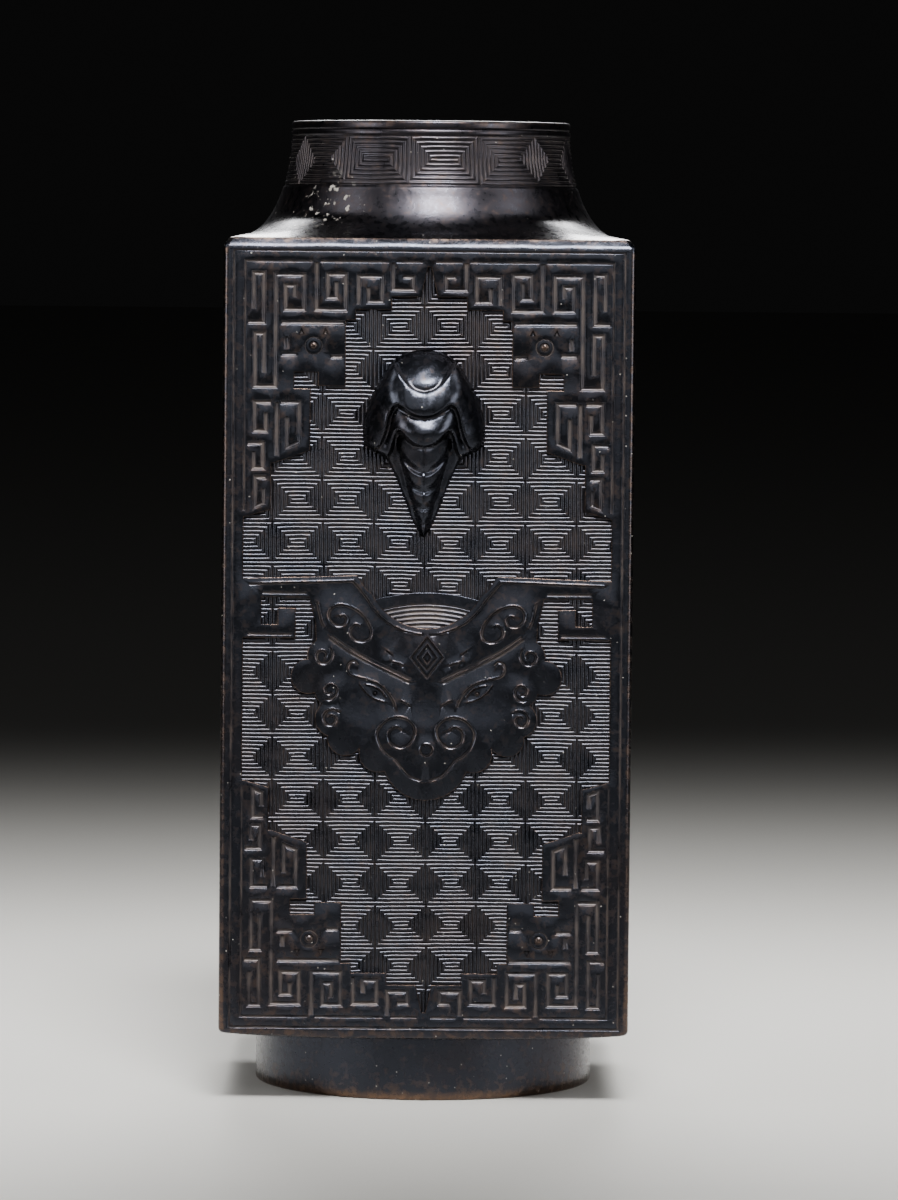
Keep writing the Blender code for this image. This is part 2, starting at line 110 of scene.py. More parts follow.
class VesselSizes(bpy.types.PropertyGroup):
    """Sizes of the vessel as cast."""

    body_width: FloatProperty(
        name="Body width",
        description="Across the flats of the square body",
        default=CAD_BOX[1].x - CAD_BOX[0].x,
        unit="LENGTH",
    )
    height: FloatProperty(
        name="Height",
        description="From the foot's underside to the rim",
        default=CAD_BOX[1].z - CAD_BOX[0].z,
        unit="LENGTH",
    )
    foot_height: length("Foot height", "From the ground to the body's underside", 20.0)
    neck_height: length("Neck height", "From the body's top edge to the rim", 36.0)
    foot_radius: length("Foot radius", "Outside of the foot ring", 52.6)
    rim_radius: length("Rim radius", "Outside of the lip", 43.4)
    wall: length("Wall", "Thickness of the cast wall", 4.2)
    base_plate: length("Base plate", "Thickness of the floor", 4.5)
    foot_wall: length("Foot wall", "Thickness of the foot ring", 5.0)
    corner_radius: length("Corner radius", "Rounding of the body's upright edges", 1.7)
    top_radius: length("Top edge radius", "How far the body's top edge rounds back", 1.8)
    top_lean: length("Top edge lean", "How far below its top edge the body begins to round back", 3.5)
    bottom_radius: length("Bottom edge radius", "Rounding of the body's bottom edge", 2.4)
    corner_lift: length("Corner lift", "How far the bottom edge rises at the corners", 1.6)
    rim_edge: length("Rim rounding", "Rounding of the lip's edges", 0.9)
    foot_edge: length("Foot rounding", "Wear on the foot's lower edge", 1.0)


class ReliefSizes(bpy.types.PropertyGroup):
    """Sizes of the chased and engraved work."""

    ridge_drop: length("Ridge drop", "From a face's plane down to the spirals' ridges", 0.82)
    groove_drop: length("Groove drop", "From a face's plane down to the spirals' grooves", 1.40)
    pocket_drop: length("Pocket drop", "From a face's plane down to the metal under the spirals", 1.90)
    plate_edge: length("Plate edge", "Wear along the edges of the raised plates", 0.30)
    cut_width: length("Cut width", "Width of the engraved lines on the frets", 1.45)
    cut_depth: length("Cut depth", "Depth of the engraved lines on the frets", 0.62)
    scroll_width: length("Scroll width", "Half width of the chased lines on the mask", 0.75)
    scroll_depth: length("Scroll depth", "Depth of the chased lines on the mask", 0.48)
    border_width: length("Border line width", "Width of the lines round each face", 0.80)
    lens_drop: length("Lens drop", "From a face's plane down to the disc between the horns", 0.35)
    tremor: length("Tremor", "How far a line strays over a few millimetres", 0.09)
    drift: length("Drift", "How far the rows of spirals stray over a few centimetres", 0.5)
    cicada_length: length("Cicada length", "From its head to its tail", 56.8)
    cicada_top: length("Cicada drop", "From the body's top to the cicada's head", 33.7)
    cicada_proud: length("Cicada relief", "How far the cicada stands out of the field", 13.0)


class FinishColours(bpy.types.PropertyGroup):
    """Colours of the patina."""

    patina: colour("Patina", "Black-brown oxide over the whole casting", "#34363D")
    brown: colour("Brown patina", "Where the oxide has thinned", "#4A3528")
    rubbed: colour("Rubbed patina", "Where ridges and edges are polished", "#6E5848")
    copper: colour("Worn metal", "Where hands have rubbed down to the bronze", "#7D6350")
    wax: colour("Wax", "Dry wax and dust in flecks and pinholes", "#A39E95")
    dust: colour("Dust", "Pale wax and dust in the grooves", "#5C4F45")


class StudioSettings(bpy.types.PropertyGroup):
    """The studio and the camera."""

    floor: colour("Floor", "Pale seamless paper", "#C6C4BF")
    eye_height: length("Eye height", "Height of the lens above the floor", 273.0)
    distance: length("Distance", "From the lens to the vase's axis", 1943.0)
    focal_length: FloatProperty(
        name="Focal length",
        description="On a sensor 36 mm on its long side, in millimetres",
        default=186.2,
        unit="CAMERA",
    )
    key_power: power("Key power", "Of the wide softbox above and in front", 5.6)
    rear_power: power("Rear power", "Of the softbox above and behind", 2.6)
    shoulder_power: power("Shoulder power", "Of each softbox above the sides", 0.3)
    front_power: power("Front power", "Of the large dim panel behind the camera", 19.0)
    side_power: power("Side power", "Of each softbox at the sides", 0.34)
    ambient: FloatProperty(
        name="Ambient",
        description="Strength of the room's own light",
        default=0.004,
        min=0.0,
    )


def sizes():
    return bpy.context.scene.vase_sizes


def relief():
    return bpy.context.scene.vase_relief


# The form


ROUND_STEPS = 16
FLAT_STEPS = 12
NECK_CURVE_POWER = 2.15
SHOULDER_STEPS = 18
EASE_STEPS = 4
BODY_STEPS = 24

# How worn the edges are, from 0 to 1
LIP_WEAR = 0.2
SHOULDER_WEAR = 0.35
SHOULDER_WEAR_FALL = 0.12
CORNER_WEAR = 0.35
LOW_CORNER_WEAR = 0.6
BOTTOM_WEAR = 0.3
FOOT_WEAR = 0.2
FOOT_EDGE_WEAR = 0.9
FOOT_RING_WEAR = 0.5

# One height of the shell: its distance from the axis at the middle of a side, how square it is
# from 0 to 1, how far its corners rise, how worn it is, and how far it wavers
Row = namedtuple("Row", "height reach square lift wear wave", defaults=(0.0, 0.0, 0.0, 0.0))


def body_top():
    return sizes().height - sizes().neck_height


def body_half():
    return sizes().body_width / 2


def neck_reach(height):
    """The neck's outer radius at a height: a quarter of a superellipse."""
    start = body_half() - sizes().top_radius
    left = max(0.0, 1.0 - (height - body_top()) / sizes().neck_height)
    cosine = left ** (NECK_CURVE_POWER / 2)
    run = math.sqrt(max(0.0, 1.0 - cosine * cosine)) ** (2 / NECK_CURVE_POWER)
    return start - (start - sizes().rim_radius) * run


def squareness(share):
    """The shoulder turns from square to round over the first two fifths of the neck's curve."""
    left = max(0.0, 1.0 - share / 0.42)
    return left * left * (3.0 - 2.0 * left)


def eased(start, end, around, wear=0.0, square=0.0, lifts=(0.0, 0.0)):
    """Rows along a quarter round from start to end, both (reach, height), bulging towards around."""
    rows = []
    for step in range(EASE_STEPS + 1):
        turn = math.pi / 2 * step / EASE_STEPS
        share = step / EASE_STEPS
        first, second = math.sin(turn), 1 - math.cos(turn)
        reach = start[0] + (around[0] - start[0]) * first + (end[0] - around[0]) * second
        height = start[1] + (around[1] - start[1]) * first + (end[1] - around[1]) * second
        lift = lifts[0] + (lifts[1] - lifts[0]) * share
        rows.append(Row(height, reach, square, lift, wear))
    return rows


# Grooves and steps down the outside of the neck: (millimetres below the rim, millimetres deep)
NECK_STEPS = (
    (2.0, 0.0),
    (2.3, 0.05),
    (2.7, 0.42),
    (3.1, 0.05),
    (3.4, 0.0),
    (3.9, 0.0),
    (4.2, 0.05),
    (4.6, 0.42),
    (4.85, 0.5),
    (12.0, 0.5),
    (19.6, 0.5),
    (19.8, 0.42),
    (20.1, 0.3),
    (20.5, 0.04),
    (20.9, 0.0),
)
BAND_TOP = 4.7
BAND_BOTTOM = 19.7


def inner_rows():
    """From the middle of the inside floor up to the lip."""
    s = sizes()
    floor = s.foot_height + s.base_plate
    inner = body_half() - s.wall
    ease = 3.0 * MM
    rows = [Row(floor, 0.0, 1.0), Row(floor, inner / 2, 1.0)]
    rows += eased((inner - ease, floor), (inner, floor + ease), (inner, floor), square=1.0)
    rows.append(Row(body_top() - s.wall - ease, inner, 1.0))
    for step in range(1, SHOULDER_STEPS):
        share = step / SHOULDER_STEPS
        height = body_top() + s.neck_height * (1 - math.cos(math.pi / 2 * share) ** (2 / NECK_CURVE_POWER))
        slope = (neck_reach(height) - neck_reach(height + 0.1 * MM)) / (0.1 * MM)
        tilt = math.hypot(1.0, slope)
        reach = min(inner - ease / 2, neck_reach(height) - s.wall / tilt)
        rows.append(Row(height - s.wall * slope / tilt, reach, squareness(share)))
    return rows


def outer_rows():
    """From the lip down to the body's top edge."""
    s = sizes()
    bore = s.rim_radius - s.wall
    rows = eased((bore, s.height - s.rim_edge), (bore + s.rim_edge, s.height), (bore, s.height), LIP_WEAR)
    rows += eased(
        (s.rim_radius - s.rim_edge, s.height),
        (s.rim_radius, s.height - s.rim_edge),
        (s.rim_radius, s.height),
        LIP_WEAR,
    )
    for drop, deep in NECK_STEPS:
        height = s.height - drop * MM
        rows.append(Row(height, neck_reach(height) - deep * MM))
    lowest = rows[-1].height
    start = math.acos((1 - (lowest - body_top()) / s.neck_height) ** (NECK_CURVE_POWER / 2))
    for step in range(1, SHOULDER_STEPS):
        angle = start * (1 - step / SHOULDER_STEPS)
        height = body_top() + s.neck_height * (1 - math.cos(angle) ** (2 / NECK_CURVE_POWER))
        crown = 0.8 * MM * math.sin(math.pi * min(1.0, angle / 0.45)) if angle < 0.45 else 0.0
        worn = max(0.0, SHOULDER_WEAR - SHOULDER_WEAR_FALL * (SHOULDER_STEPS - 1 - step))
        rows.append(Row(height, neck_reach(height), squareness(angle / (math.pi / 2)), crown, worn))
    return rows


# The body's top edge: shares of how far it rounds back and how far below it begins to, and its wear
TOP_EDGE = (
    (1.0, 0.0, 0.6),
    (0.92, 0.05, 0.5),
    (0.74, 0.2, 0.15),
    (0.4, 0.42, 0.0),
    (0.13, 0.64, 0.0),
    (0.03, 0.82, 0.0),
    (0.0, 1.0, 0.0),
)
TOP_WAVE = 0.3 * MM


def body_rows():
    """Down the body, from its top edge to its bottom edge."""
    s = sizes()
    half, top, low = body_half(), body_top(), s.foot_height
    rows = []
    for back, drop, worn in TOP_EDGE:
        wave = TOP_WAVE if 0.1 < drop < 1.0 else 0.0
        rows.append(Row(top - s.top_lean * drop, half - s.top_radius * back, 1.0, 0.0, worn, wave))
    lift = s.corner_lift
    last = low + s.bottom_radius
    for step in range(1, BODY_STEPS):
        height = rows[-1].height + (last - rows[-1].height) / (BODY_STEPS - step + 1)
        rows.append(Row(height, half, 1.0, 0.5 * lift if step == BODY_STEPS - 1 else 0.0))
    edge = ((half, last), (half - s.bottom_radius, low), (half, low))
    rows += eased(*edge, BOTTOM_WEAR, 1.0, (0.5 * lift, lift))
    return rows


def foot_rows():
    """Down the foot, over its ring and up into its recess."""
    s = sizes()
    recess = s.foot_radius - s.foot_wall
    rows = [Row(s.foot_height, s.foot_radius), Row(s.foot_height / 2, s.foot_radius)]
    rows.append(Row(3.0 * s.foot_edge, s.foot_radius, wear=FOOT_WEAR))
    edge = ((s.foot_radius, s.foot_edge), (s.foot_radius - s.foot_edge, 0.0), (s.foot_radius, 0.0))
    rows += eased(*edge, FOOT_EDGE_WEAR)
    rows += [
        Row(0.0, recess, wear=FOOT_RING_WEAR),
        Row(s.foot_height, recess),
        Row(s.foot_height, recess / 2),
        Row(s.foot_height, 0.0),
    ]
    return rows


def ring_place(step, row):
    """Where point number step of a quarter ring lies, from the left corner to the right one."""
    angle = math.radians(45.0 * step / ROUND_STEPS)
    flat = math.radians(45.0 * FLAT_STEPS / ROUND_STEPS)
    radius = min(sizes().corner_radius, row.reach)
    straight = row.reach - radius
    away = abs(step)
    if away <= FLAT_STEPS:
        across, out = straight * math.tan(abs(angle)) / math.tan(flat), row.reach
    else:
        bend = math.radians(45.0 * (away - FLAT_STEPS) / (ROUND_STEPS - FLAT_STEPS))
        across, out = straight + radius * math.sin(bend), straight + radius * math.cos(bend)
    across = math.copysign(across, step)
    x = row.reach * math.sin(angle) * (1 - row.square) + across * row.square
    y = row.reach * math.cos(angle) * (1 - row.square) + out * row.square
    outwards = abs(x) / row.reach if row.reach else 0.0
    wave = noise.noise(Vector((x / (9.0 * MM), row.height / (3.0 * MM), 0.0))) * (1 - outwards**8)
    return Vector((x, -y, row.height + row.lift * outwards**3 + row.wave * wave))


# Drawing along paths


Mark = namedtuple("Mark", "aside out recess wear")
CORNER = math.radians(50.0)


def marks_of(bm):
    """The two values that the bronze's material reads: how deep in a groove, and how worn."""
    layers = bm.verts.layers.float
    return layers.get("recess") or layers.new("recess"), layers.get("wear") or layers.new("wear")


def chained(row, ring):
    """The pairs of neighbours along a row of points."""
    return list(zip(row, row[1:])) + ([(row[-1], row[0])] if ring else [])


def extrude_rows(bm, rows, places, ring=False):
    """Extrudes chains of points, all in one step, puts the new ones in their places and returns them."""
    edges = [bm.edges.get(pair) for row in rows for pair in chained(row, ring)]
    made = bmesh.ops.extrude_edge_only(bm, edges=edges)["geom"]
    fresh = {g for g in made if isinstance(g, bmesh.types.BMVert)}
    new_rows = []
    for row, row_places in zip(rows, places):
        twins = [next(e.other_vert(v) for e in v.link_edges if e.other_vert(v) in fresh) for v in row]
        for twin, place in zip(twins, row_places):
            twin.co = place
        new_rows.append(twins)
    return new_rows


def fill_ring(bm, ring):
    """Closes a ring of points with triangles."""
    edges = [bm.edges.get(pair) for pair in zip(ring, ring[1:] + ring[:1])]
    bmesh.ops.triangle_fill(bm, use_beauty=True, edges=edges)


def mitres(path, joined):
    """For each point of a path, the way to its right, longer at a corner."""
    ways = []
    count = len(path)
    for i in range(count):
        before = path[i] - path[i - 1] if i or joined else path[i + 1] - path[i]
        after = path[(i + 1) % count] - path[i] if i < count - 1 or joined else before
        before, after = before.normalized(), after.normalized()
        mean = (before + after).normalized() if (before + after).length > 1e-6 else before
        ways.append(Vector((mean.y, -mean.x)) / max(0.35, mean.dot(after)))
    return ways


def turns_sharply(path, i):
    """Whether an open path turns a corner at its point number i."""
    if i in (0, len(path) - 1):
        return False
    return (path[i] - path[i - 1]).angle(path[i + 1] - path[i], 0.0) > CORNER


def sweep(bm, paths, profile, joined=False, ring=False, taper=0.0):
    """Draws a profile of Marks along flat paths, with mitred corners, and returns each path's rows.

    joined makes each path a loop and ring the profile. With a taper, a path's two ends rise to
    the surface over that distance, as a graver's cut does.
    """
    recess, wear = marks_of(bm)
    if taper:
        paths = [
            [p[0], inward(p[0], p[1], taper), *p[1:-1], inward(p[-1], p[-2], taper), p[-1]] for p in paths
        ]
    ways = [mitres(path, joined) for path in paths]
    made = [[] for path in paths]
    for i in range(max(len(path) for path in paths)):
        going = [n for n, path in enumerate(paths) if i < len(path)]
        places = []
        for n in going:
            flat = taper and i in (0, len(paths[n]) - 1)
            spots = [paths[n][i] + ways[n][i] * mark.aside for mark in profile]
            places.append([Vector((*spot, 0.0 if flat else mark.out)) for spot, mark in zip(spots, profile)])
        if i == 0:
            rows = [[bm.verts.new(place) for place in row] for row in places]
            for row in rows:
                for pair in chained(row, ring):
                    bm.edges.new(pair)
        else:
            rows = extrude_rows(bm, [made[n][-1] for n in going], places, ring)
        for n, row in zip(going, rows):
            made[n].append(row)
            flat = taper and i in (0, len(paths[n]) - 1)
            for vert, mark in zip(row, profile):
                vert[recess] = 0.0 if flat else mark.recess
                vert[wear] = mark.wear
            if turns_sharply(paths[n], i):
                for pair in chained(row, ring):
                    bm.edges.get(pair).smooth = False
    if joined:
        firsts = [rows[0] for rows in made]
        lasts = extrude_rows(bm, [rows[-1] for rows in made], [[v.co for v in row] for row in firsts], ring)
        pairs = [pair for last, first in zip(lasts, firsts) for pair in zip(last, first)]
        bmesh.ops.weld_verts(bm, targetmap=dict(pairs))
    if ring and not joined:
        for rows in made:
            bm.faces.new(rows[0])
            bm.faces.new(rows[-1])
    return made


def inward(end, following, most):
    """A point near a path's end, at most half way to the following one."""
    step = following - end
    return end + step * min(0.5, most / step.length)


def stepped(path, most, joined=False):
    """A path with extra points, so that no step is longer than most."""
    ends = path[1:] + ([path[0]] if joined else [])
    points = []
    for start, end in zip(path, ends):
        count = max(1, math.ceil((end - start).length / most))
        points += [start.lerp(end, i / count) for i in range(count)]
    return points if joined else [*points, path[-1]]


def smooth(points, steps=4):
    """A smooth curve that passes through points."""
    points = [Vector(p) for p in points]
    padded = [2 * points[0] - points[1], *points, 2 * points[-1] - points[-2]]
    curve = []
    for a, b, c, d in zip(padded, padded[1:], padded[2:], padded[3:]):
        for i in range(steps):
            t = i / steps
            second, third = 2 * a - 5 * b + 4 * c - d, 3 * b - a - 3 * c + d
            curve.append(0.5 * (2 * b + (c - a) * t + second * t**2 + third * t**3))
    return [*curve, points[-1]]


def arc(centre, radius, start, end, step=9.0):
    """Points along an arc from one angle to another, in degrees, both ends included."""
    count = max(2, math.ceil(abs(end - start) / step))
    angles = [math.radians(start + (end - start) * i / count) for i in range(count + 1)]
    return [Vector(centre) + radius * Vector((math.cos(a), math.sin(a))) for a in angles]


def curl(centre, radius, core, start, turn, step=24.0):
    """A spiral that winds in from radius to core over turn degrees."""
    count = math.ceil(abs(turn) / step)
    points = []
    for i in range(count + 1):
        angle = math.radians(start + turn * i / count)
        reach = radius + (core - radius) * (i / count) ** 0.8
        points.append(Vector(centre) + reach * Vector((math.cos(angle), math.sin(angle))))
    return points


def runs(text):
    """A path in words: points as u,v and straight runs up, down, left or right, as in U11 R3."""
    ways = {"U": (0, 1), "D": (0, -1), "L": (-1, 0), "R": (1, 0)}
    points = []
    for word in text.split():
        if word[0] in ways:
            points.append(points[-1] + float(word[1:]) * Vector(ways[word[0]]))
        else:
            points.append(Vector([float(n) for n in word.split(",")]))
    return points


def flipped(path):
    """The path's mirror image across the face's upright middle, still going the same way round."""
    return [Vector((-p.x, p.y)) for p in reversed(path)]


def strayed(path, joined=False):
    """The path as a hand would cut it, in metres: a little off straight."""
    r = relief()
    points = []
    for point in stepped(path, 5.0, joined):
        place = Vector((*point, 0.0))
        stray = noise.noise_vector(place / 6.0)
        points.append((point + stray.xy * (r.tremor / MM)) * MM)
    return points


# Drawing of the frets


FIELD_HALF_WIDTH = 55.8
FIELD_HALF_HEIGHT = 115.0
BORDER_LINE = (59.2, 118.3)
BOTTOM_FRET_SCALE = 0.93

# The edge of the sunk ground along the top left fret, from the middle to the field's edge
FRET_EDGE = (
    "-0.5,113.4 -2.4,104.3 L8.9 D3.9 L10.9 D3.2 L3 D20 L8.4 U4.1 L7.2 D4.9 R5 D18.8 "
    "-46.8,53.7 L0.8 D14.1 -55.8,37.2"
)
FRET_CUTS = (
    "-53.2,100.2 U11.1 R3 D14.9 L5",
    "-50,80.8 U12.2 L2.7 D16 R6.2 U33.8 R8.5 D10.4 L5.6 U7.2 R2.8 D3.8",
    "-45,96.4 R19.4",
    "-34.2,114.8 D14.4 R8.8 U10.6 L5.4 D7 R2.6 U5",
    "-18.5,107.3 D4.4 R4.2 U7.6 L7.2 D8.8",
    "-11.1,114.8 D8.2 R6.2 U3.8 L3.4",
    "-45,86.8 R5.2",
    "-43.2,88.2 U4",
    "-30,86.1 R4.2",
    "-49.3,69.3 D5.8 L3.4 U8.7 R5.2",
    "-45.1,72.2 R5.9 D12 -42.9,58.6 U9.4",
    "-46,72.4 D16.6",
    "-55,59.7 R4.8 D7.4 L2.7 U5",
    "-48.9,49.4 L3.5 D8.9 -49.8,41.6 U4.5",
)
FRET_EYE = ((-35.0, 89.4), 2.6, 1.15)
FRET_NOTCHES = ("-38.7,94.8 -39.6,92.8 -37.7,92.8", "-31.4,94.8 -32.3,92.8 -30.4,92.8")
LINE_PIECES = (
    "-1.9,115 L8.2",
    "-12.2,115 L21",
    "-35.2,115 L20.6 D76",
)


def to_bottom(path):
    """A top fret's path, moved to the bottom of the field, where the frets are a little lower."""
    return [Vector((p.x, -FIELD_HALF_HEIGHT + (FIELD_HALF_HEIGHT - p.y) * BOTTOM_FRET_SCALE)) for p in path]


# Drawing of the mask


HORN_CENTRE = (0.0, 22.2)
HORN_RADIUS = 18.4
HORN_TIP = "-18.7,15.9 -21.3,19.8 -55.8,18.7"
HOOK_EDGE = "-55.8,0.6 R16 U9.2 L5.5 D5 L4.9 U8.2 -35.7,13 -34.9,9.5 -33.8,5.2"
MASK_LOBES = (
    ((-31.3, -4.5), 4.9),
    ((-35.8, -11.0), 5.4),
    ((-29.0, -15.2), 5.0),
    ((-28.2, -23.8), 5.6),
    ((-24.6, -29.8), 5.4),
    ((-14.5, -34.4), 5.8),
    ((0.0, -35.5), 13.2),
)
LENS_RADIUS = 55.0
LENS_TOP = 14.8
LENS_FIRST = 4.0
LENS_PITCH = 1.33
LENS_ARCS = 6
LENS_DEEP = 12.5
LENS_HALF_CHORD = 17.5


def lobe_meeting(first, second):
    """Where two lobes' circles cross, on the side away from the mask's middle."""
    a, b = Vector(first[0]), Vector(second[0])
    gap = (b - a).length
    along = (first[1] ** 2 - second[1] ** 2 + gap**2) / (2 * gap)
    aside = math.sqrt(max(0.0, first[1] ** 2 - along**2))
    way = (b - a) / gap
    square = Vector((-way.y, way.x))
    crossings = [a + way * along + square * aside * s for s in (1, -1)]
    return max(crossings, key=lambda p: (p - Vector((0.0, -15.0))).length)


def heading(centre, point):
    return math.degrees(math.atan2(point.y - centre[1], point.x - centre[0])) % 360.0


def lobed_edge():
    """The mask's left edge, from under the horn to the bottom of the chin."""
    points = []
    start = 118.0
    for lobe, following in zip(MASK_LOBES, MASK_LOBES[1:]):
        meet = lobe_meeting(lobe, following)
        points += arc(*lobe, start, heading(lobe[0], meet), 15.0)[:-1]
        start = heading(following[0], meet)
    return points + arc(*MASK_LOBES[-1], start, 270.0, 15.0)


def upper_pocket():
    """The outline of the sunk ground above the mask, anticlockwise."""
    left = runs(FRET_EDGE) + list(reversed(runs(HORN_TIP)))
    left += arc(HORN_CENTRE, HORN_RADIUS, 207.0, 270.0)
    return left + flipped(left[:-1])


def lower_pocket():
    """The outline of the sunk ground below the mask, anticlockwise."""
    left = list(reversed(runs(HOOK_EDGE) + lobed_edge())) + to_bottom(list(reversed(runs(FRET_EDGE))))
    return left + flipped(left[1:])


BROW = [(-29.4, 1.1), (-25.0, -2.0), (-20.0, -4.9), (-15.0, -7.4), (-10.0, -9.8), (-4.7, -12.4)]
PUPIL = (-15.5, -16.0)
EYE_LINES = (
    ((-20.3, -13.3), (-18.3, -15.8), (-15.6, -17.7), (-12.0, -18.7)),
    ((-18.4, -13.4), (-16.2, -13.9), (-13.8, -15.2), (-12.0, -17.3)),
)
SCROLL = (
    "-26.8,7.3 -25.3,7.7 -24.2,6.5 -25.0,4.7 -27.4,4.4 -29.4,6.0 -29.8,8.3 -28.6,10.2 "
    "-26.4,10.9 -23.4,10.4 -20.3,8.7 -17.9,5.9 -16.7,3.0 -17.1,0.7 -19.2,-0.4 -21.8,0.1 "
    "-23.3,2.0 -22.9,4.1 -21.4,5.0 -19.8,4.4"
)
LID = (
    "-20.8,-7.6 -21.9,-6.5 -23.4,-7.1 -23.8,-8.9 -22.7,-10.5 -20.6,-11.2 -17.6,-11.9 -14.2,-13.3 "
    "-11.6,-15.6 -10.0,-18.2 -9.3,-20.2"
)
SNOUT = (
    "-0.9,-42.9 -4.8,-41.4 -7.6,-38.6 -9.2,-36.4 -11.4,-35.0 -13.9,-32.2 -14.9,-28.0 -12.4,-24.4 "
    "-8.2,-23.1 -4.4,-24.7 -3.1,-27.8 -4.6,-31.2 -7.8,-32.6 -11.0,-30.9 -11.2,-27.7 -8.8,-26.1 "
    "-6.9,-27.4"
)
RIDGE = "-33.2,11.8 -32.6,8.4 -31.8,5.6 -30.9,3.9"
BAR_LINES = ("-50,14.4 R13.6", "-54.4,1.8 R13.6")


def mask_cuts():
    """The chased lines on the left half of the mask, as open paths with their beads on the left."""
    mouth = [Vector((-54.2, 17.1)), Vector((-22.4, 18.1)), *arc(HORN_CENTRE, HORN_RADIUS + 1.9, 208.0, 267.0)]
    cheeks = [
        curl((-31.4, -4.7), 3.5, 0.9, 50.0, -480.0),
        list(reversed(curl((-29.2, -15.3), 3.2, 0.9, -120.0, 450.0))),
        list(reversed(curl((-28.8, -24.0), 3.5, 0.9, 35.0, 480.0))),
    ]
    return [
        mouth,
        smooth(runs(SCROLL)),
        smooth(runs(LID)),
        smooth(runs(SNOUT)),
        smooth(runs(RIDGE)),
        runs("-12.3,-2.8 -10.5,-4.2"),
        smooth([(-10.7, -6.3), (-8.6, -6.7), (-6.6, -7.5)]),
        smooth([(-8.0, -18.1), (-6.3, -18.7), (-4.6, -19.8)]),
        *cheeks,
    ]


def diamond(half_width, half_height):
    """The forehead's lozenge, anticlockwise."""
    middle = Vector((0.2, -5.0))
    corners = ((half_width, 0), (0, half_height), (-half_width, 0), (0, -half_height))
    return [middle + Vector(corner) for corner in corners]


def mask_loops():
    """The closed engraved lines on the mask's middle."""
    ring = list(reversed(arc((0.2, -33.2), 1.9, 0.0, 340.0, 20.0)))
    return [*(list(reversed(diamond(w, h))) for w, h in ((5.0, 6.3), (3.1, 4.0), (1.2, 1.7))), ring]


# The casting


def groove(width, depth):
    """Across an engraved line: a round-bottomed cut with soft lips."""
    half = width / 2
    return [
        Mark(-half - 0.12 * MM, 0.0, 0.0, 0.1),
        Mark(-half, -0.12 * depth, 0.2, 0.15),
        Mark(-0.62 * half, -0.72 * depth, 0.8, 0.0),
        Mark(-0.25 * half, -depth, 1.0, 0.0),
        Mark(0.25 * half, -depth, 1.0, 0.0),
        Mark(0.62 * half, -0.72 * depth, 0.8, 0.0),
        Mark(half, -0.12 * depth, 0.2, 0.15),
        Mark(half + 0.12 * MM, 0.0, 0.0, 0.1),
    ]


def thread(width, depth):
    """Across a line of the mask: a raised bead on the left of the path and a cut on its right."""
    return [
        Mark(-width, 0.0, 0.0, 0.0),
        Mark(-0.68 * width, 0.22 * depth, 0.0, 0.1),
        Mark(-0.38 * width, 0.40 * depth, 0.0, 0.35),
        Mark(-0.12 * width, 0.16 * depth, 0.0, 0.1),
        Mark(0.10 * width, -0.75 * depth, 0.8, 0.0),
        Mark(0.30 * width, -depth, 1.0, 0.0),
        Mark(0.48 * width, -depth, 1.0, 0.0),
        Mark(0.72 * width, -0.45 * depth, 0.5, 0.1),
        Mark(0.95 * width, 0.0, 0.0, 0.0),
    ]


def twin_cut(width, depth):
    """Across the brow: two cuts side by side, with a thin ridge between them."""
    half = [
        Mark(0.0, 0.15 * depth, 0.0, 0.5),
        Mark(0.2 * width, 0.0, 0.0, 0.2),
        Mark(0.5 * width, -depth, 1.0, 0.0),
        Mark(1.0 * width, -depth, 1.0, 0.0),
        Mark(1.4 * width, -0.2 * depth, 0.3, 0.1),
        Mark(1.8 * width, 0.0, 0.0, 0.0),
    ]
    return [Mark(-m.aside, m.out, m.recess, m.wear) for m in reversed(half[1:])] + half


def add_pockets(bm, outlines):
    """Sunk fields with worn edges and a flat floor."""
    r = relief()
    edge = r.plate_edge
    profile = [
        Mark(edge, 0.0, 0.0, 0.0),
        Mark(0.3 * edge, -0.3 * edge, 0.0, 0.8),
        Mark(0.0, -edge, 0.2, 0.3),
        Mark(0.0, -r.pocket_drop, 1.0, 0.0),
    ]
    made = sweep(bm, [strayed(outline, True) for outline in outlines], profile, joined=True)
    for rows in made:
        fill_ring(bm, [row[-1] for row in rows])
    return all_verts(made)


def all_verts(made):
    return [vert for rows in made for row in rows for vert in row]


def add_cuts(bm, paths, profile, joined=False):
    """Engraves open paths, or closed ones."""
    taper = 0.0 if joined else 0.45 * MM
    return all_verts(sweep(bm, [strayed(path, joined) for path in paths], profile, joined, taper=taper))


def add_notches(bm, outlines, depth):
    """Small flared cuts with a flat bottom."""
    profile = [Mark(0.0, 0.0, 0.0, 0.3), Mark(-0.35 * MM, -depth, 1.0, 0.0)]
    made = sweep(bm, [[p * MM for p in outline] for outline in outlines], profile, joined=True)
    for rows in made:
        fill_ring(bm, [row[-1] for row in rows])
    return all_verts(made)


def add_bosses(bm, centres, radius):
    """Low round bosses, as in the middle of an eye, each ringed by a cut."""
    depth = relief().scroll_depth
    profile = [
        Mark(0.35 * MM, 0.0, 0.0, 0.0),
        Mark(0.1 * MM, -depth, 1.0, 0.0),
        Mark(-0.35 * MM, -0.1 * MM, 0.2, 0.4),
        Mark(-radius * 0.6 * MM, 0.1 * MM, 0.0, 0.6),
    ]
    rings = [[p * MM for p in arc(centre, radius, 0.0, 345.0, 15.0)] for centre in centres]
    made = sweep(bm, rings, profile, joined=True)
    for rows in made:
        fill_ring(bm, [row[-1] for row in rows])
    return all_verts(made)


def both_hands(paths):
    return [*paths, *map(flipped, paths)]


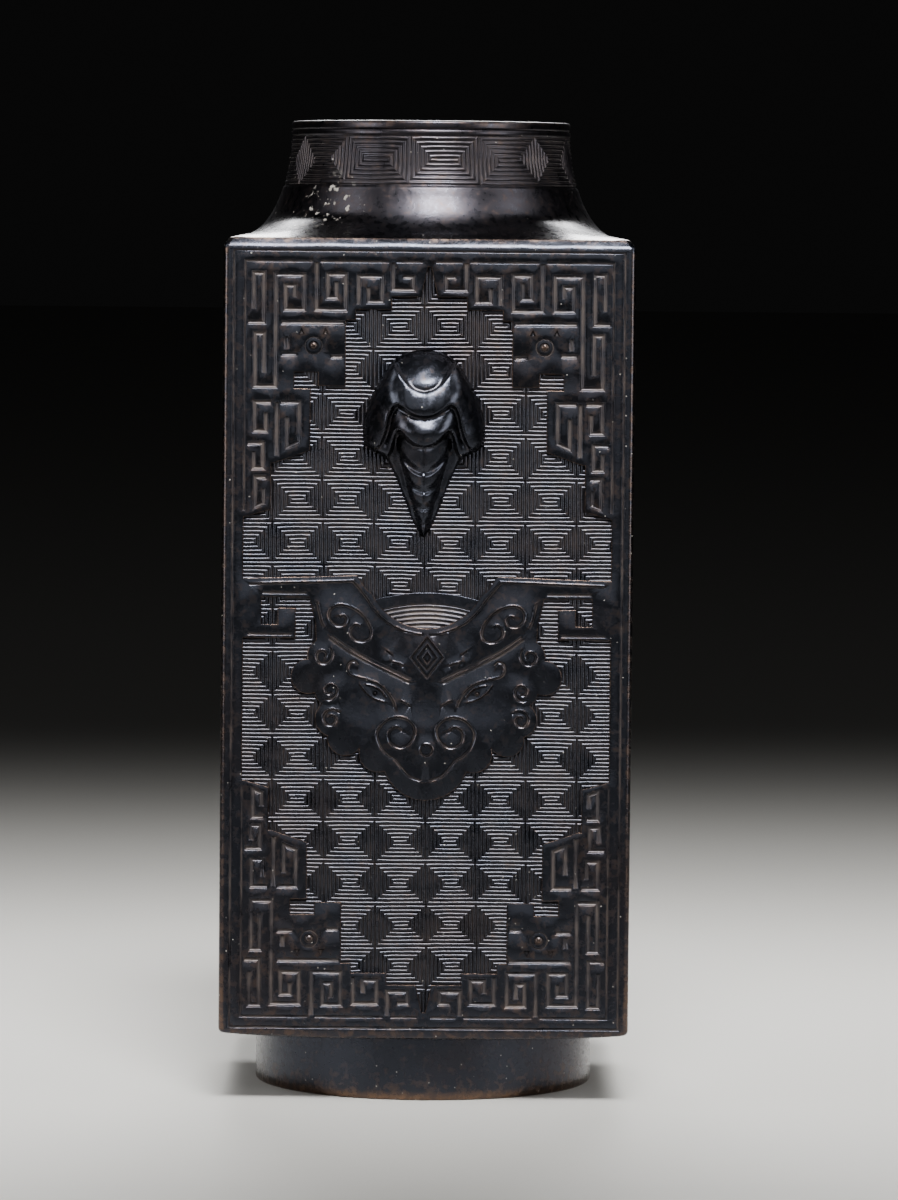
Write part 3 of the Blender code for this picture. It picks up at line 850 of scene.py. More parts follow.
def carve_face(bm):
    """Everything cut into one face, as islands in the face's plane."""
    r = relief()
    left_cuts = [runs(text) for text in FRET_CUTS]
    left_lines = [runs(text) for text in LINE_PIECES]
    bars = [runs(text) for text in BAR_LINES]
    cuts = both_hands(left_cuts + [to_bottom(path) for path in left_cuts])
    lines = both_hands(bars + left_lines + [to_bottom(path) for path in left_lines])
    across, up = BORDER_LINE
    border = [Vector(p) for p in ((-across, -up), (across, -up), (across, up), (-across, up))]
    centre, radius, boss = FRET_EYE
    eyes = both_hands([[Vector(centre)], to_bottom([Vector(centre)])])
    centres = [eye[0] for eye in eyes]
    notches = [runs(text) for text in FRET_NOTCHES]
    notches = both_hands(notches + [list(reversed(to_bottom(path))) for path in notches])
    fine = groove(r.border_width, r.scroll_depth)
    verts = add_pockets(bm, [upper_pocket(), lower_pocket()])
    verts += add_cuts(bm, cuts, groove(r.cut_width, r.cut_depth))
    verts += add_notches(bm, notches, r.cut_depth)
    verts += add_cuts(bm, lines, fine)
    verts += add_cuts(bm, [border], fine, joined=True)
    verts += add_cuts(bm, both_hands(mask_cuts()), thread(r.scroll_width, r.scroll_depth))
    eye_lines = [smooth(line) for line in EYE_LINES]
    verts += add_cuts(bm, both_hands(eye_lines), thread(0.6 * r.scroll_width, r.scroll_depth))
    verts += add_cuts(bm, both_hands([smooth(BROW)]), twin_cut(0.9 * r.scroll_width, r.scroll_depth))
    verts += add_cuts(bm, mask_loops(), thread(0.7 * r.scroll_width, r.scroll_depth), joined=True)
    rings = [list(reversed(arc(spot, radius, 0.0, 345.0, 15.0))) for spot in centres]
    verts += add_cuts(bm, rings, groove(0.5 * MM, 0.3 * MM), joined=True)
    pupils = both_hands([[Vector(PUPIL)]])
    return verts + add_bosses(bm, centres, boss) + add_bosses(bm, [p[0] for p in pupils], 0.45)


def on_face(side):
    """Carries (u, v, out) on a face to the vase's frame. Side 0 is the front."""
    middle = (sizes().foot_height + body_top()) / 2
    axes = Matrix(((1, 0, 0, 0), (0, 0, -1, -body_half()), (0, 1, 0, middle), (0, 0, 0, 1)))
    return Matrix.Rotation(math.radians(90.0 * side), 4, "Z") @ axes


# How far above the body's underside the corners are worn the most
LOW_CORNER = 16.0 * MM


def quarter_shell(bm):
    """A quarter of the vessel's skin, inside and out, with its flat face left open."""
    recess, wear = marks_of(bm)
    steps = range(-ROUND_STEPS, ROUND_STEPS + 1)
    row = None
    for section in inner_rows() + outer_rows() + body_rows() + foot_rows():
        places = [ring_place(step, section) for step in steps]
        if row is None:
            row = [bm.verts.new(place) for place in places]
            for pair in zip(row, row[1:]):
                bm.edges.new(pair)
        else:
            row = extrude_rows(bm, [row], [places])[0]
        upright = section.square == 1.0 and section.reach == body_half()
        for step, vert in zip(steps, row):
            vert[recess] = 0.0
            vert[wear] = section.wear
            if upright and abs(step) > FLAT_STEPS:
                low = section.height < sizes().foot_height + LOW_CORNER
                vert[wear] = LOW_CORNER_WEAR if low else CORNER_WEAR


def in_face_plane(vert):
    return abs(vert.co.y + body_half()) < 1e-6


# The filling works along scan lines, and a slanted view keeps level lines from sharing one
SLANTED = (0.31, -1.0, 0.17)


def vessel():
    """The whole casting: one quarter with its carved face, turned four times and welded."""
    bm = bmesh.new()
    quarter_shell(bm)
    flat = [f for f in bm.faces if all(in_face_plane(v) for v in f.verts)]
    bmesh.ops.delete(bm, geom=flat, context="FACES")
    island = carve_face(bm)
    bmesh.ops.transform(bm, matrix=on_face(0), verts=island)
    rims = [e for e in bm.edges if e.is_boundary and all(in_face_plane(v) for v in e.verts)]
    bmesh.ops.triangle_fill(bm, use_beauty=True, edges=rims, normal=SLANTED)
    everything = bm.verts[:] + bm.edges[:] + bm.faces[:]
    bmesh.ops.spin(bm, geom=everything, axis=(0, 0, 1), angle=1.5 * math.pi, steps=3, use_duplicate=True)
    bmesh.ops.remove_doubles(bm, verts=bm.verts, dist=0.002 * MM)
    bmesh.ops.recalc_face_normals(bm, faces=bm.faces)
    return bm


# The ground of squared spirals


CELL_WIDE = 15.4
CELL_HIGH = 13.0
CELL_TURNS = 11
FIRST_ROW = -119.0
ROWS = 19
COLUMNS = range(-4, 4)
LEAN = -0.0105
LEAN_FROM = -55.0
SAG = 1.3

NECK_CELLS = 13
NECK_OFFSET = 4.4


def squared_spiral(across, up, backwards):
    """A squared spiral's centre line, in turns, from a corner of its cell to the middle."""
    left, right, low, top = 0.5, across - 0.5, 0.5, up - 0.5
    path = [Vector((0.0, low))]
    while top - low > 0.5:
        path += [Vector((right, low)), Vector((right, top)), Vector((left, top)), Vector((left, low + 1))]
        left, right, low, top = left + 1, right - 1, low + 1, top - 1
    path.append(Vector((right + 0.5, low)))
    return [Vector((across - p.x, p.y)) for p in path] if backwards else path


def ridge(pitch, low, high):
    """Across one ridge between two grooves: a low round back with steep sides, closed underneath."""
    shoulder = high - 0.2 * pitch
    return [
        Mark(-0.5 * pitch, low, 1.0, 0.0),
        Mark(-0.36 * pitch, shoulder, 0.42, 0.0),
        Mark(0.0, high, 0.0, 0.0),
        Mark(0.36 * pitch, shoulder, 0.42, 0.0),
        Mark(0.5 * pitch, low, 1.0, 0.0),
    ]


def drifted(point):
    """Where a point of the ground lies: the columns lean, the rows sag and each line trembles."""
    r = relief()
    lean = LEAN * (point.y - LEAN_FROM)
    sag = -SAG * (1.0 - (point.y / FIELD_HALF_HEIGHT) ** 2)
    point = point + Vector((lean, sag))
    place = Vector((*point, 7.0))
    wander = noise.noise_vector(place / 38.0).xy * (r.drift / MM)
    tremble = noise.noise_vector(place / 3.1).xy * (r.tremor / MM)
    return (point + wander + tremble) * MM


def inside(point, outline):
    """Whether a point lies inside a closed outline."""
    crossings = 0
    for a, b in zip(outline, outline[1:] + outline[:1]):
        if (a.y > point.y) != (b.y > point.y):
            crossings += a.x + (b.x - a.x) * (point.y - a.y) / (b.y - a.y) > point.x
    return crossings % 2 == 1


def shows(corner, outlines):
    """Whether any part of a cell of the ground lies in an open field."""
    for i in range(5):
        for j in range(5):
            point = corner + Vector((CELL_WIDE * i / 4, CELL_HIGH * j / 4))
            if any(inside(point, outline) for outline in outlines):
                return True
    return False


def spiral_ground():
    """The ridges of one face's ground, one closed strip for each spiral."""
    r = relief()
    pitch = CELL_HIGH / CELL_TURNS
    outlines = [upper_pocket(), lower_pocket()]
    paths = []
    for row in range(ROWS):
        for column in COLUMNS:
            corner = Vector((column * CELL_WIDE, FIRST_ROW + row * CELL_HIGH))
            if shows(corner, outlines):
                path = squared_spiral(CELL_WIDE / pitch, CELL_TURNS, (row + column) % 2 == 1)
                paths.append([drifted(corner + p * pitch) for p in stepped(path, 2.6)])
    bm = bmesh.new()
    sweep(bm, paths, ridge(pitch * MM, -r.groove_drop, -r.ridge_drop), ring=True)
    across, up = (FIELD_HALF_WIDTH + 0.6) * MM, (FIELD_HALF_HEIGHT + 0.6) * MM
    for way, reach in (((1, 0, 0), across), ((-1, 0, 0), across), ((0, 1, 0), up), ((0, -1, 0), up)):
        everything = bm.verts[:] + bm.edges[:] + bm.faces[:]
        bmesh.ops.bisect_plane(
            bm, geom=everything, plane_co=Vector(way) * reach, plane_no=way, clear_outer=True, dist=1e-7
        )
    open_edges = [e for e in bm.edges if e.is_boundary]
    bmesh.ops.holes_fill(bm, edges=open_edges, sides=0)
    return bm


def add_lens(bm):
    """The low disc between the horns, with concentric lines that follow its top."""
    r = relief()
    drop = -r.lens_drop
    pitch = LENS_PITCH * MM
    profile = [Mark(0.0, -r.pocket_drop, 1.0, 0.0), Mark(0.0, drop - 0.15 * MM, 0.0, 0.0)]
    profile += [Mark(place * MM, drop, 0.0, 0.0) for place in (0.1, 0.25, 3.0, 3.15)]
    for i in range(LENS_ARCS):
        middle = LENS_FIRST * MM + pitch * i
        across = ridge(0.48 * pitch, drop - 0.45 * MM, drop - 0.15 * MM)
        profile += [Mark(middle + mark.aside, mark.out, mark.recess, mark.wear) for mark in across]
    last = middle + pitch / 2
    profile += [Mark(last, drop - 0.45 * MM, 1.0, 0.0), Mark(last + 0.15 * MM, drop, 0.0, 0.0)]
    profile += [Mark(LENS_DEEP * MM, drop, 0.0, 0.0), Mark(LENS_DEEP * MM, -r.pocket_drop, 1.0, 0.0)]
    centre = (0.0, LENS_TOP - LENS_RADIUS)
    half = math.degrees(math.asin(LENS_HALF_CHORD / LENS_RADIUS))
    path = [p * MM for p in arc(centre, LENS_RADIUS, 90.0 + half, 90.0 - half, 2.0)]
    sweep(bm, [path], profile, ring=True)


def neck_band():
    """The ring of squared spirals round the neck."""
    s = sizes()
    pitch = (BAND_BOTTOM - BAND_TOP) / CELL_TURNS
    middle = s.height - (BAND_TOP + BAND_BOTTOM) / 2 * MM
    cell = 2 * math.pi * neck_reach(middle) / MM / NECK_CELLS
    paths = []
    for number in range(NECK_CELLS):
        corner = Vector(((number - 0.5) * cell + NECK_OFFSET, -BAND_BOTTOM))
        path = squared_spiral(cell / pitch, CELL_TURNS, number % 2 == 1)
        tremor = relief().tremor / MM
        points = [corner + p * pitch for p in stepped(path, 2.2)]
        paths.append([(p + noise.noise_vector(Vector((*p, 3.0)) / 3.1).xy * tremor) * MM for p in points])
    bm = bmesh.new()
    sweep(bm, paths, ridge(pitch * MM, -0.56 * MM, -0.04 * MM), ring=True)
    for vert in bm.verts:
        height = s.height + vert.co.y
        angle = vert.co.x / neck_reach(middle)
        reach = neck_reach(height) + vert.co.z
        vert.co = (reach * math.sin(angle), -reach * math.cos(angle), height)
    return bm


# The cicadas


# The cicada is drawn in millimetres: across from its middle line, and down from its head.
# Half widths of the outline and of the body, and the heights of its back, at places down its length
OUTLINE = (
    (0.0, 2.6), (0.6, 5.0), (2.0, 8.0), (4.3, 10.4), (9.3, 13.4), (14.3, 16.1), (20.3, 17.9),
    (25.3, 18.6), (27.6, 18.4), (29.2, 17.6), (30.4, 16.2), (31.6, 13.8), (33.0, 11.6),
    (35.6, 10.0), (40.3, 7.9), (44.3, 6.3), (49.3, 4.4), (53.8, 2.4), (56.8, 0.5),
)
HEAD_BACK = (
    (0.0, 0.8), (1.0, 2.9), (2.4, 4.7), (4.6, 6.9), (7.0, 8.9), (9.2, 10.3), (11.0, 11.0),
    (12.4, 11.3),
)
HEAD_HALF = ((0.0, 3.4), (1.0, 6.6), (2.4, 9.2), (5.0, 11.2), (12.0, 12.4))
HOOD_FALL = (
    (0.0, 10.8), (0.9, 11.5), (2.2, 12.2), (3.6, 12.7), (5.2, 13.0), (6.4, 12.9), (8.6, 12.0),
    (20.0, 8.4),
)
COLLAR_FALL = (
    (-2.0, 9.4), (0.0, 10.3), (1.6, 11.2), (3.4, 11.9), (5.0, 12.1), (8.4, 10.8), (12.0, 9.0),
    (20.0, 6.0),
)
RING_BACK = (
    (24.0, 9.6), (29.0, 9.0), (36.4, 7.6), (42.3, 6.1), (47.7, 4.5), (52.6, 2.8), (56.8, 0.9),
)
RING_HALF = (
    (24.0, 9.6), (29.0, 8.8), (36.4, 6.6), (42.3, 4.9), (47.7, 3.4), (52.6, 1.9), (56.8, 0.4),
)
# Lower edges of its head, of its hood with the front wings, and of the collar with the hind wings:
# places down its length at distances from its middle line
HEAD_EDGE = (
    (0.0, 11.8), (3.0, 10.9), (6.0, 8.2), (8.0, 5.3), (9.4, 2.8), (12.0, -2.0), (20.0, -17.0),
)
HOOD_EDGE = (
    (0.0, 20.2), (3.0, 19.6), (6.0, 17.8), (8.0, 16.6), (9.4, 17.4), (10.4, 20.0), (11.3, 23.8),
    (12.9, 28.0), (14.2, 29.8), (16.5, 30.8), (20.0, 31.0),
)
COLLAR_EDGE = (
    (0.0, 29.2), (3.0, 28.4), (5.6, 26.4), (7.4, 24.6), (8.4, 25.4), (9.6, 29.0), (11.0, 33.0),
    (14.0, 41.0),
)
COLLAR_BEND = ((0.0, 20.2), (4.0, 19.3), (8.0, 16.4), (12.0, 11.6), (20.0, -2.0))
RING_CREASES = (28.5, 36.6, 42.4, 47.6, 52.4, 57.5)
RING_BOW = 0.1
CICADA_HALF = 19.4
CICADA_ASIDE = -1.3
CICADA_UNEVEN = 0.22
CICADA_COLUMNS = 104
CICADA_ROWS = 156


def read_curve(table, place):
    """The table's value at a place, on a smooth curve through its points."""
    place = min(max(place, table[0][0]), table[-1][0])
    i = next(i for i in range(len(table) - 1) if place <= table[i + 1][0])
    (x0, y0), (x1, y1) = table[i], table[i + 1]
    before, after = table[max(0, i - 1)], table[min(len(table) - 1, i + 2)]
    gap = x1 - x0
    rise0 = gap * (y1 - before[1]) / (x1 - before[0])
    rise1 = gap * (after[1] - y0) / (after[0] - x0)
    t = (place - x0) / gap
    before_t = y0 * (1 + 2 * t) * (1 - t) ** 2 + rise0 * t * (1 - t) ** 2
    return before_t + y1 * t * t * (3 - 2 * t) + rise1 * t * t * (t - 1)


def dome(across, half, power):
    """The height, from 1 at the middle to 0, of a rounded back."""
    return max(0.0, 1.0 - (across / half) ** power) ** 0.5


def eased_step(value, start, end):
    share = min(1.0, max(0.0, (value - start) / (end - start)))
    return share * share * (3 - 2 * share)


def softer_of(a, b, blend):
    """The larger of two heights, with a fillet where they meet."""
    near = max(0.0, blend - abs(a - b)) / blend
    return max(a, b) + near * near * blend / 4


def wing(across, down, inner, shoulder, edge):
    """A wing that drapes from the body's side out to the outline."""
    outer = read_curve(OUTLINE, down)
    reach = min(1.0, max(0.0, (across - inner) / max(0.5, outer - inner)))
    return shoulder - (shoulder - edge) * reach**2.2


def below(edge, across, down):
    """How far a point lies below a layer's lower edge, square to the edge."""
    slope = (read_curve(edge, across + 0.1) - read_curve(edge, across)) / 0.1
    return (down - read_curve(edge, across)) / math.hypot(1.0, slope)


def head(across, down):
    return read_curve(HEAD_BACK, down) * dome(across, read_curve(HEAD_HALF, down), 2.2)


def hood(across, down):
    """The thorax, which swells below the head's edge and follows it, and the front wings."""
    half = read_curve(OUTLINE, down) + 0.5
    return read_curve(HOOD_FALL, below(HEAD_EDGE, across, down)) * dome(across, half, 2.1)


def collar(across, down):
    body = read_curve(COLLAR_FALL, below(COLLAR_BEND, across, down)) * dome(across, 12.4, 2.0)
    return softer_of(body, wing(across, down, 7.5, 6.2 - 0.03 * down, 2.0), 2.4)


def abdomen(across, down):
    """The keeled, ringed tail between the hind wings."""
    body = read_curve(RING_BACK, down) * dome(across, read_curve(RING_HALF, down), 1.15)
    place = down + RING_BOW * across * across
    above = max((crease for crease in RING_CREASES if crease <= place), default=RING_CREASES[0])
    beneath = min((crease for crease in RING_CREASES if crease > place), default=RING_CREASES[-1])
    lift = 1.0 * eased_step(place, above, above + 1.6) - 0.7 * eased_step(place, beneath - 2.0, beneath)
    drape = wing(across, down, 0.5 * read_curve(OUTLINE, down), 4.4 - 0.06 * down, 0.6)
    drape += 0.14 * math.sin(2.4 * across + 0.1 * down)
    return softer_of(body + lift * eased_step(body - drape, -0.6, 0.8), drape, 0.8)


# Each layer with its lower edge, from the lowest layer up
LAYERS = ((collar, COLLAR_EDGE), (hood, HOOD_EDGE), (head, HEAD_EDGE))


def cicada_height(across, down):
    """(height over the field, recess) of the cicada's back, layer on layer."""
    height, recess = abdomen(across, down), 0.0
    for layer, edge in LAYERS:
        beyond = below(edge, across, down)
        share = eased_step(beyond, 0.7, -0.7)
        height += (layer(across, down) - height) * share
        crease = eased_step(abs(beyond - 0.25), 0.75, 0.0)
        height -= 0.2 * crease
        recess = max(recess * (1.0 - share), crease)
    return height, 0.3 * recess


def cicada():
    """One cicada, closed, rooted in the field."""
    r = relief()
    long = RING_BACK[-1][0]
    scale = r.cicada_length / long
    proud = r.cicada_proud / max(height for place, height in HOOD_FALL)
    top = (body_top() - sizes().foot_height) / 2 - r.cicada_top
    field = -r.ridge_drop
    bm = bmesh.new()
    recess, wear = marks_of(bm)
    bmesh.ops.create_grid(bm, x_segments=CICADA_COLUMNS, y_segments=CICADA_ROWS, size=1.0)
    for vert in bm.verts:
        across = vert.co.x * CICADA_HALF
        down = (1.0 - vert.co.y) / 2 * (long + 1.6) - 0.8
        height, recessed = cicada_height(abs(across), min(max(down, 0.0), long))
        over = abs(across) - read_curve(OUTLINE, down)
        beyond = max(over, -down, down - long)
        height += CICADA_UNEVEN * noise.noise(Vector((across, down, 0.0)) / 3.4)
        height = height * eased_step(-beyond, -0.1, 1.1) ** 0.5 - 1.4 * eased_step(beyond, -0.4, 0.4)
        vert[recess] = recessed
        vert[wear] = 0.0
        vert.co = (across * scale + CICADA_ASIDE * MM, top - down * scale, field + height * proud)
    inner = [v for v in bm.verts if not v.is_boundary]
    bmesh.ops.smooth_vert(bm, verts=inner, factor=0.5, use_axis_x=False, use_axis_y=False, use_axis_z=True)
    low = [f for f in bm.faces if all(v.co.z < field - 1.1 * MM for v in f.verts)]
    bmesh.ops.delete(bm, geom=low, context="FACES")
    rim = [e for e in bm.edges if e.is_boundary]
    made = bmesh.ops.extrude_edge_only(bm, edges=rim)["geom"]
    for vert in made:
        if isinstance(vert, bmesh.types.BMVert):
            vert.co.z = -r.pocket_drop - 0.6 * MM
    bmesh.ops.holes_fill(bm, edges=[e for e in bm.edges if e.is_boundary], sides=0)
    bmesh.ops.recalc_face_normals(bm, faces=bm.faces)
    return bm


# Materials


def new_material(name):
    """A material with nodes, and its shader."""
    material = bpy.data.materials.new(name)
    material.use_nodes = True
    return material, material.node_tree.nodes["Principled BSDF"]


def add_node(material, kind, inputs, output=0, **settings):
    """Adds a node with its properties and its inputs, each a value or a link, and gives an output."""
    node = material.node_tree.nodes.new(kind)
    for name, value in settings.items():
        setattr(node, name, value)
    for name, value in inputs.items():
        if isinstance(value, bpy.types.NodeSocket):
            material.node_tree.links.new(value, node.inputs[name])
        else:
            node.inputs[name].default_value = value
    return node.outputs[output]


# Where flecks of dry wax lie, on the left of the shoulder's front
WAX_FLECKS = Vector((-33.0, -37.0, 272.5)) * MM
# Sizes of the noises in the finish, in millimetres
CLOUDS = {"blotches": 34.0, "patches": 9.0, "swell": 6.0, "fleck": 3.0, "mottle": 2.2, "grain": 0.45}


def patinated_bronze(colours):
    """Cast and chased bronze under a dark brown-black oxide, waxed and rubbed.

    The oxide hides the metal, so the surface is nearly black with a wax gloss. Where hands and
    cleaning have thinned it, on edges and on the neck, it turns brown with flecks of warm metal.
    Pale wax and dust, which don't shine, stay in the bottoms of the cuts and in pinholes.
    """
    bronze, shader = new_material("Patinated bronze")
    maths, fade, mix = "ShaderNodeMath", "ShaderNodeMapRange", "ShaderNodeMix"
    place = add_node(bronze, "ShaderNodeTexCoord", {}, "Object")
    recess = add_node(bronze, "ShaderNodeAttribute", {}, "Fac", attribute_name="recess")
    wear = add_node(bronze, "ShaderNodeAttribute", {}, "Fac", attribute_name="wear")
    height = add_node(bronze, "ShaderNodeSeparateXYZ", {"Vector": place}, "Z")
    clouds = {}
    for name, size in CLOUDS.items():
        inputs = {"Vector": place, "Scale": 1 / (size * MM), "Detail": 4.0, "Roughness": 0.6}
        clouds[name] = add_node(bronze, "ShaderNodeTexNoise", inputs, "Fac")

    # Brown where the oxide is thin, in soft patches and on the neck
    thin = add_node(bronze, fade, {"Value": clouds["blotches"], "From Min": 0.5, "From Max": 0.75}, "Result")
    neck = add_node(bronze, fade, {"Value": height, "From Min": 0.262, "From Max": 0.274}, "Result")
    thin = add_node(bronze, maths, {0: thin, 1: 0.35}, operation="MULTIPLY")
    thin = add_node(bronze, maths, {0: neck, 1: 0.32, 2: thin}, operation="MULTIPLY_ADD")
    thin = add_node(bronze, maths, {0: thin, 1: clouds["mottle"]}, operation="MULTIPLY")
    base = add_node(bronze, mix, {0: thin, 6: colours.patina, 7: colours.brown}, 2, data_type="RGBA")

    # Rubbed edges: brown, with flecks of warm metal
    flecks = add_node(bronze, maths, {0: clouds["mottle"], 1: 1.5, 2: -0.75}, operation="MULTIPLY_ADD")
    worn = add_node(bronze, maths, {0: wear, 1: flecks}, operation="ADD")
    soft = add_node(bronze, fade, {"Value": worn, "From Min": 0.1, "From Max": 1.0, "To Max": 0.8}, "Result")
    base = add_node(bronze, mix, {0: soft, 6: base, 7: colours.rubbed}, 2, data_type="RGBA")
    hard = add_node(bronze, fade, {"Value": worn, "From Min": 0.95, "From Max": 1.3, "To Max": 0.5}, "Result")
    base = add_node(bronze, mix, {0: hard, 6: base, 7: colours.copper}, 2, data_type="RGBA")

    # Dust in the cuts, and specks of it in pinholes 0.5 mm wide
    dusty = add_node(bronze, fade, {"Value": clouds["patches"], "From Min": 0.3, "From Max": 0.6}, "Result")
    dusty = add_node(bronze, maths, {0: dusty, 1: recess}, operation="MULTIPLY")
    dusty = add_node(bronze, maths, {0: dusty, 1: 0.5}, operation="MULTIPLY")
    cells = {"Vector": place, "Scale": 1 / (2.0 * MM), "Randomness": 1.0}
    far = add_node(bronze, "ShaderNodeTexVoronoi", cells, "Distance")
    chance = add_node(bronze, "ShaderNodeTexVoronoi", cells, "Color")
    chance = add_node(bronze, "ShaderNodeSeparateColor", {"Color": chance}, "Red")
    speck = add_node(bronze, fade, {"Value": far, "From Min": 0.13, "From Max": 0.09}, "Result")
    chance = add_node(bronze, fade, {"Value": chance, "From Min": 0.87, "From Max": 0.89}, "Result")
    speck = add_node(bronze, maths, {0: speck, 1: chance}, operation="MULTIPLY")
    away = add_node(bronze, "ShaderNodeVectorMath", {0: place, 1: WAX_FLECKS}, "Value", operation="DISTANCE")
    away = add_node(bronze, fade, {"Value": away, "From Min": 14.0 * MM, "From Max": 8.0 * MM}, "Result")
    wax = add_node(bronze, fade, {"Value": clouds["fleck"], "From Min": 0.58, "From Max": 0.62}, "Result")
    wax = add_node(bronze, maths, {0: wax, 1: away}, operation="MULTIPLY")
    wax = add_node(bronze, maths, {0: wax, 1: speck}, operation="MAXIMUM")
    wax = add_node(bronze, maths, {0: wax, 1: 0.7}, operation="MULTIPLY")
    base = add_node(bronze, mix, {0: dusty, 6: base, 7: colours.dust}, 2, data_type="RGBA")
    base = add_node(bronze, mix, {0: wax, 6: base, 7: colours.wax}, 2, data_type="RGBA")
    pale = add_node(bronze, maths, {0: dusty, 1: wax}, operation="MAXIMUM")
    bronze.node_tree.links.new(base, shader.inputs["Base Color"])
    shine = add_node(bronze, maths, {0: 1.0, 1: pale}, operation="SUBTRACT")
    bronze.node_tree.links.new(shine, shader.inputs["Metallic"])

    gloss = {"Value": clouds["mottle"], "From Min": 0.3, "From Max": 0.7, "To Min": 0.20, "To Max": 0.33}
    rough = add_node(bronze, fade, gloss, "Result")
    rough = add_node(bronze, maths, {0: pale, 1: 0.4, 2: rough}, operation="MULTIPLY_ADD")
    rough = add_node(bronze, maths, {0: neck, 1: 0.05, 2: rough}, operation="MULTIPLY_ADD")
    bronze.node_tree.links.new(rough, shader.inputs["Roughness"])

    swell = {"Height": clouds["swell"], "Strength": 0.10, "Distance": 1.2 * MM}
    normal = add_node(bronze, "ShaderNodeBump", swell, "Normal")
    grain = {"Height": clouds["grain"], "Strength": 0.14, "Distance": 0.12 * MM, "Normal": normal}
    normal = add_node(bronze, "ShaderNodeBump", grain, "Normal")
    bronze.node_tree.links.new(normal, shader.inputs["Normal"])
    return bronze


def studio_paper(colours):
    """Matt seamless paper."""
    material, shader = new_material("Studio paper")
    shader.inputs["Base Color"].default_value = colours.floor
    shader.inputs["Roughness"].default_value = 0.85
    return material


def bronze():
    return bpy.data.materials.get("Patinated bronze") or patinated_bronze(bpy.context.scene.vase_finish)


# Pieces


SMOOTH_BELOW = math.radians(38.0)
RIDGES_SHARP_FROM = math.radians(75.0)


def new_piece(name, bm, material, smooth_below=SMOOTH_BELOW):
    """A mesh object at the origin, with its place in its mesh, crisp at corners and sharp edges."""
    bm.normal_update()
    for face in bm.faces:
        face.smooth = True
    for edge in bm.edges:
        if edge.calc_face_angle(0.0) > smooth_below:
            edge.smooth = False
    mesh = bpy.data.meshes.new(name)
    bm.to_mesh(mesh)
    bm.free()
    mesh.materials.append(material)
    piece = bpy.data.objects.new(name, mesh)
    bpy.context.scene.collection.objects.link(piece)
    return piece


def on_the_vase(piece):
    """The piece belongs to the vase's one body."""
    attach(piece, "root")


FACES = ("front", "right", "back", "left")


class VASE_OT_casting(bpy.types.Operator):
    """Model the vessel with its four carved faces"""

    bl_idname = "vase.casting"
    bl_label = "Casting"

    def execute(self, context):
        piece = new_piece("casting", vessel(), bronze())
        on_the_vase(piece)
        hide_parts(NODE)
        return {"FINISHED"}


class VASE_OT_grounds(bpy.types.Operator):
    """Model the squared spirals and the lined disc sunk in each face"""

    bl_idname = "vase.grounds"
    bl_label = "Spiral grounds"

    def execute(self, context):
        pattern = spiral_ground()
        add_lens(pattern)
        bmesh.ops.recalc_face_normals(pattern, faces=pattern.faces)
        for side, face in enumerate(FACES):
            bm = pattern.copy()
            bmesh.ops.transform(bm, matrix=on_face(side), verts=bm.verts)
            on_the_vase(new_piece(f"ground_{face}", bm, bronze(), RIDGES_SHARP_FROM))
        pattern.free()
        return {"FINISHED"}


class VASE_OT_neck_band(bpy.types.Operator):
    """Model the band of squared spirals round the neck"""

    bl_idname = "vase.neck_band"
    bl_label = "Neck band"

    def execute(self, context):
        bm = neck_band()
        bmesh.ops.recalc_face_normals(bm, faces=bm.faces)
        on_the_vase(new_piece("neck_band", bm, bronze(), RIDGES_SHARP_FROM))
        return {"FINISHED"}


class VASE_OT_cicadas(bpy.types.Operator):
    """Model the cicadas on the front and the back"""

    bl_idname = "vase.cicadas"
    bl_label = "Cicadas"

    def execute(self, context):
        for side in (0, 2):
            bm = cicada()
            bmesh.ops.transform(bm, matrix=on_face(side), verts=bm.verts)
            on_the_vase(new_piece(f"cicada_{FACES[side]}", bm, bronze(), math.radians(120.0)))
        return {"FINISHED"}


# The studio


AIM = Vector((6.7, -62.5, 154.6)) * MM
ROLL = 0.53
FLOOR_HALF = 15.0


def add_softbox(name, place, target, size, power, spread):
    """A rectangular soft light aimed at a point, whose grid keeps its light within a spread in degrees."""
    light = bpy.data.lights.new(name, "AREA")
    light.shape = "RECTANGLE"
    light.size, light.size_y = size
    light.energy = power
    light.spread = math.radians(spread)
    lamp = bpy.data.objects.new(name, light)
    lamp.location = place
    lamp.rotation_euler = (Vector(target) - Vector(place)).to_track_quat("-Z", "Y").to_euler()
    bpy.context.scene.collection.objects.link(lamp)


def add_camera(studio):
    """The camera, where the photograph was taken from."""
    camera = bpy.data.objects.new("camera", bpy.data.cameras.new("camera"))
    camera.data.lens = studio.focal_length
    camera.data.sensor_width = 36.0
    camera.location = (0.0, -studio.distance, studio.eye_height)
    aimed = (AIM - camera.location).to_track_quat("-Z", "Y").to_matrix()
    turn = aimed @ Matrix.Rotation(math.radians(ROLL), 3, "Z")
    camera.rotation_euler = turn.to_euler()
    bpy.context.scene.collection.objects.link(camera)
    bpy.context.scene.camera = camera


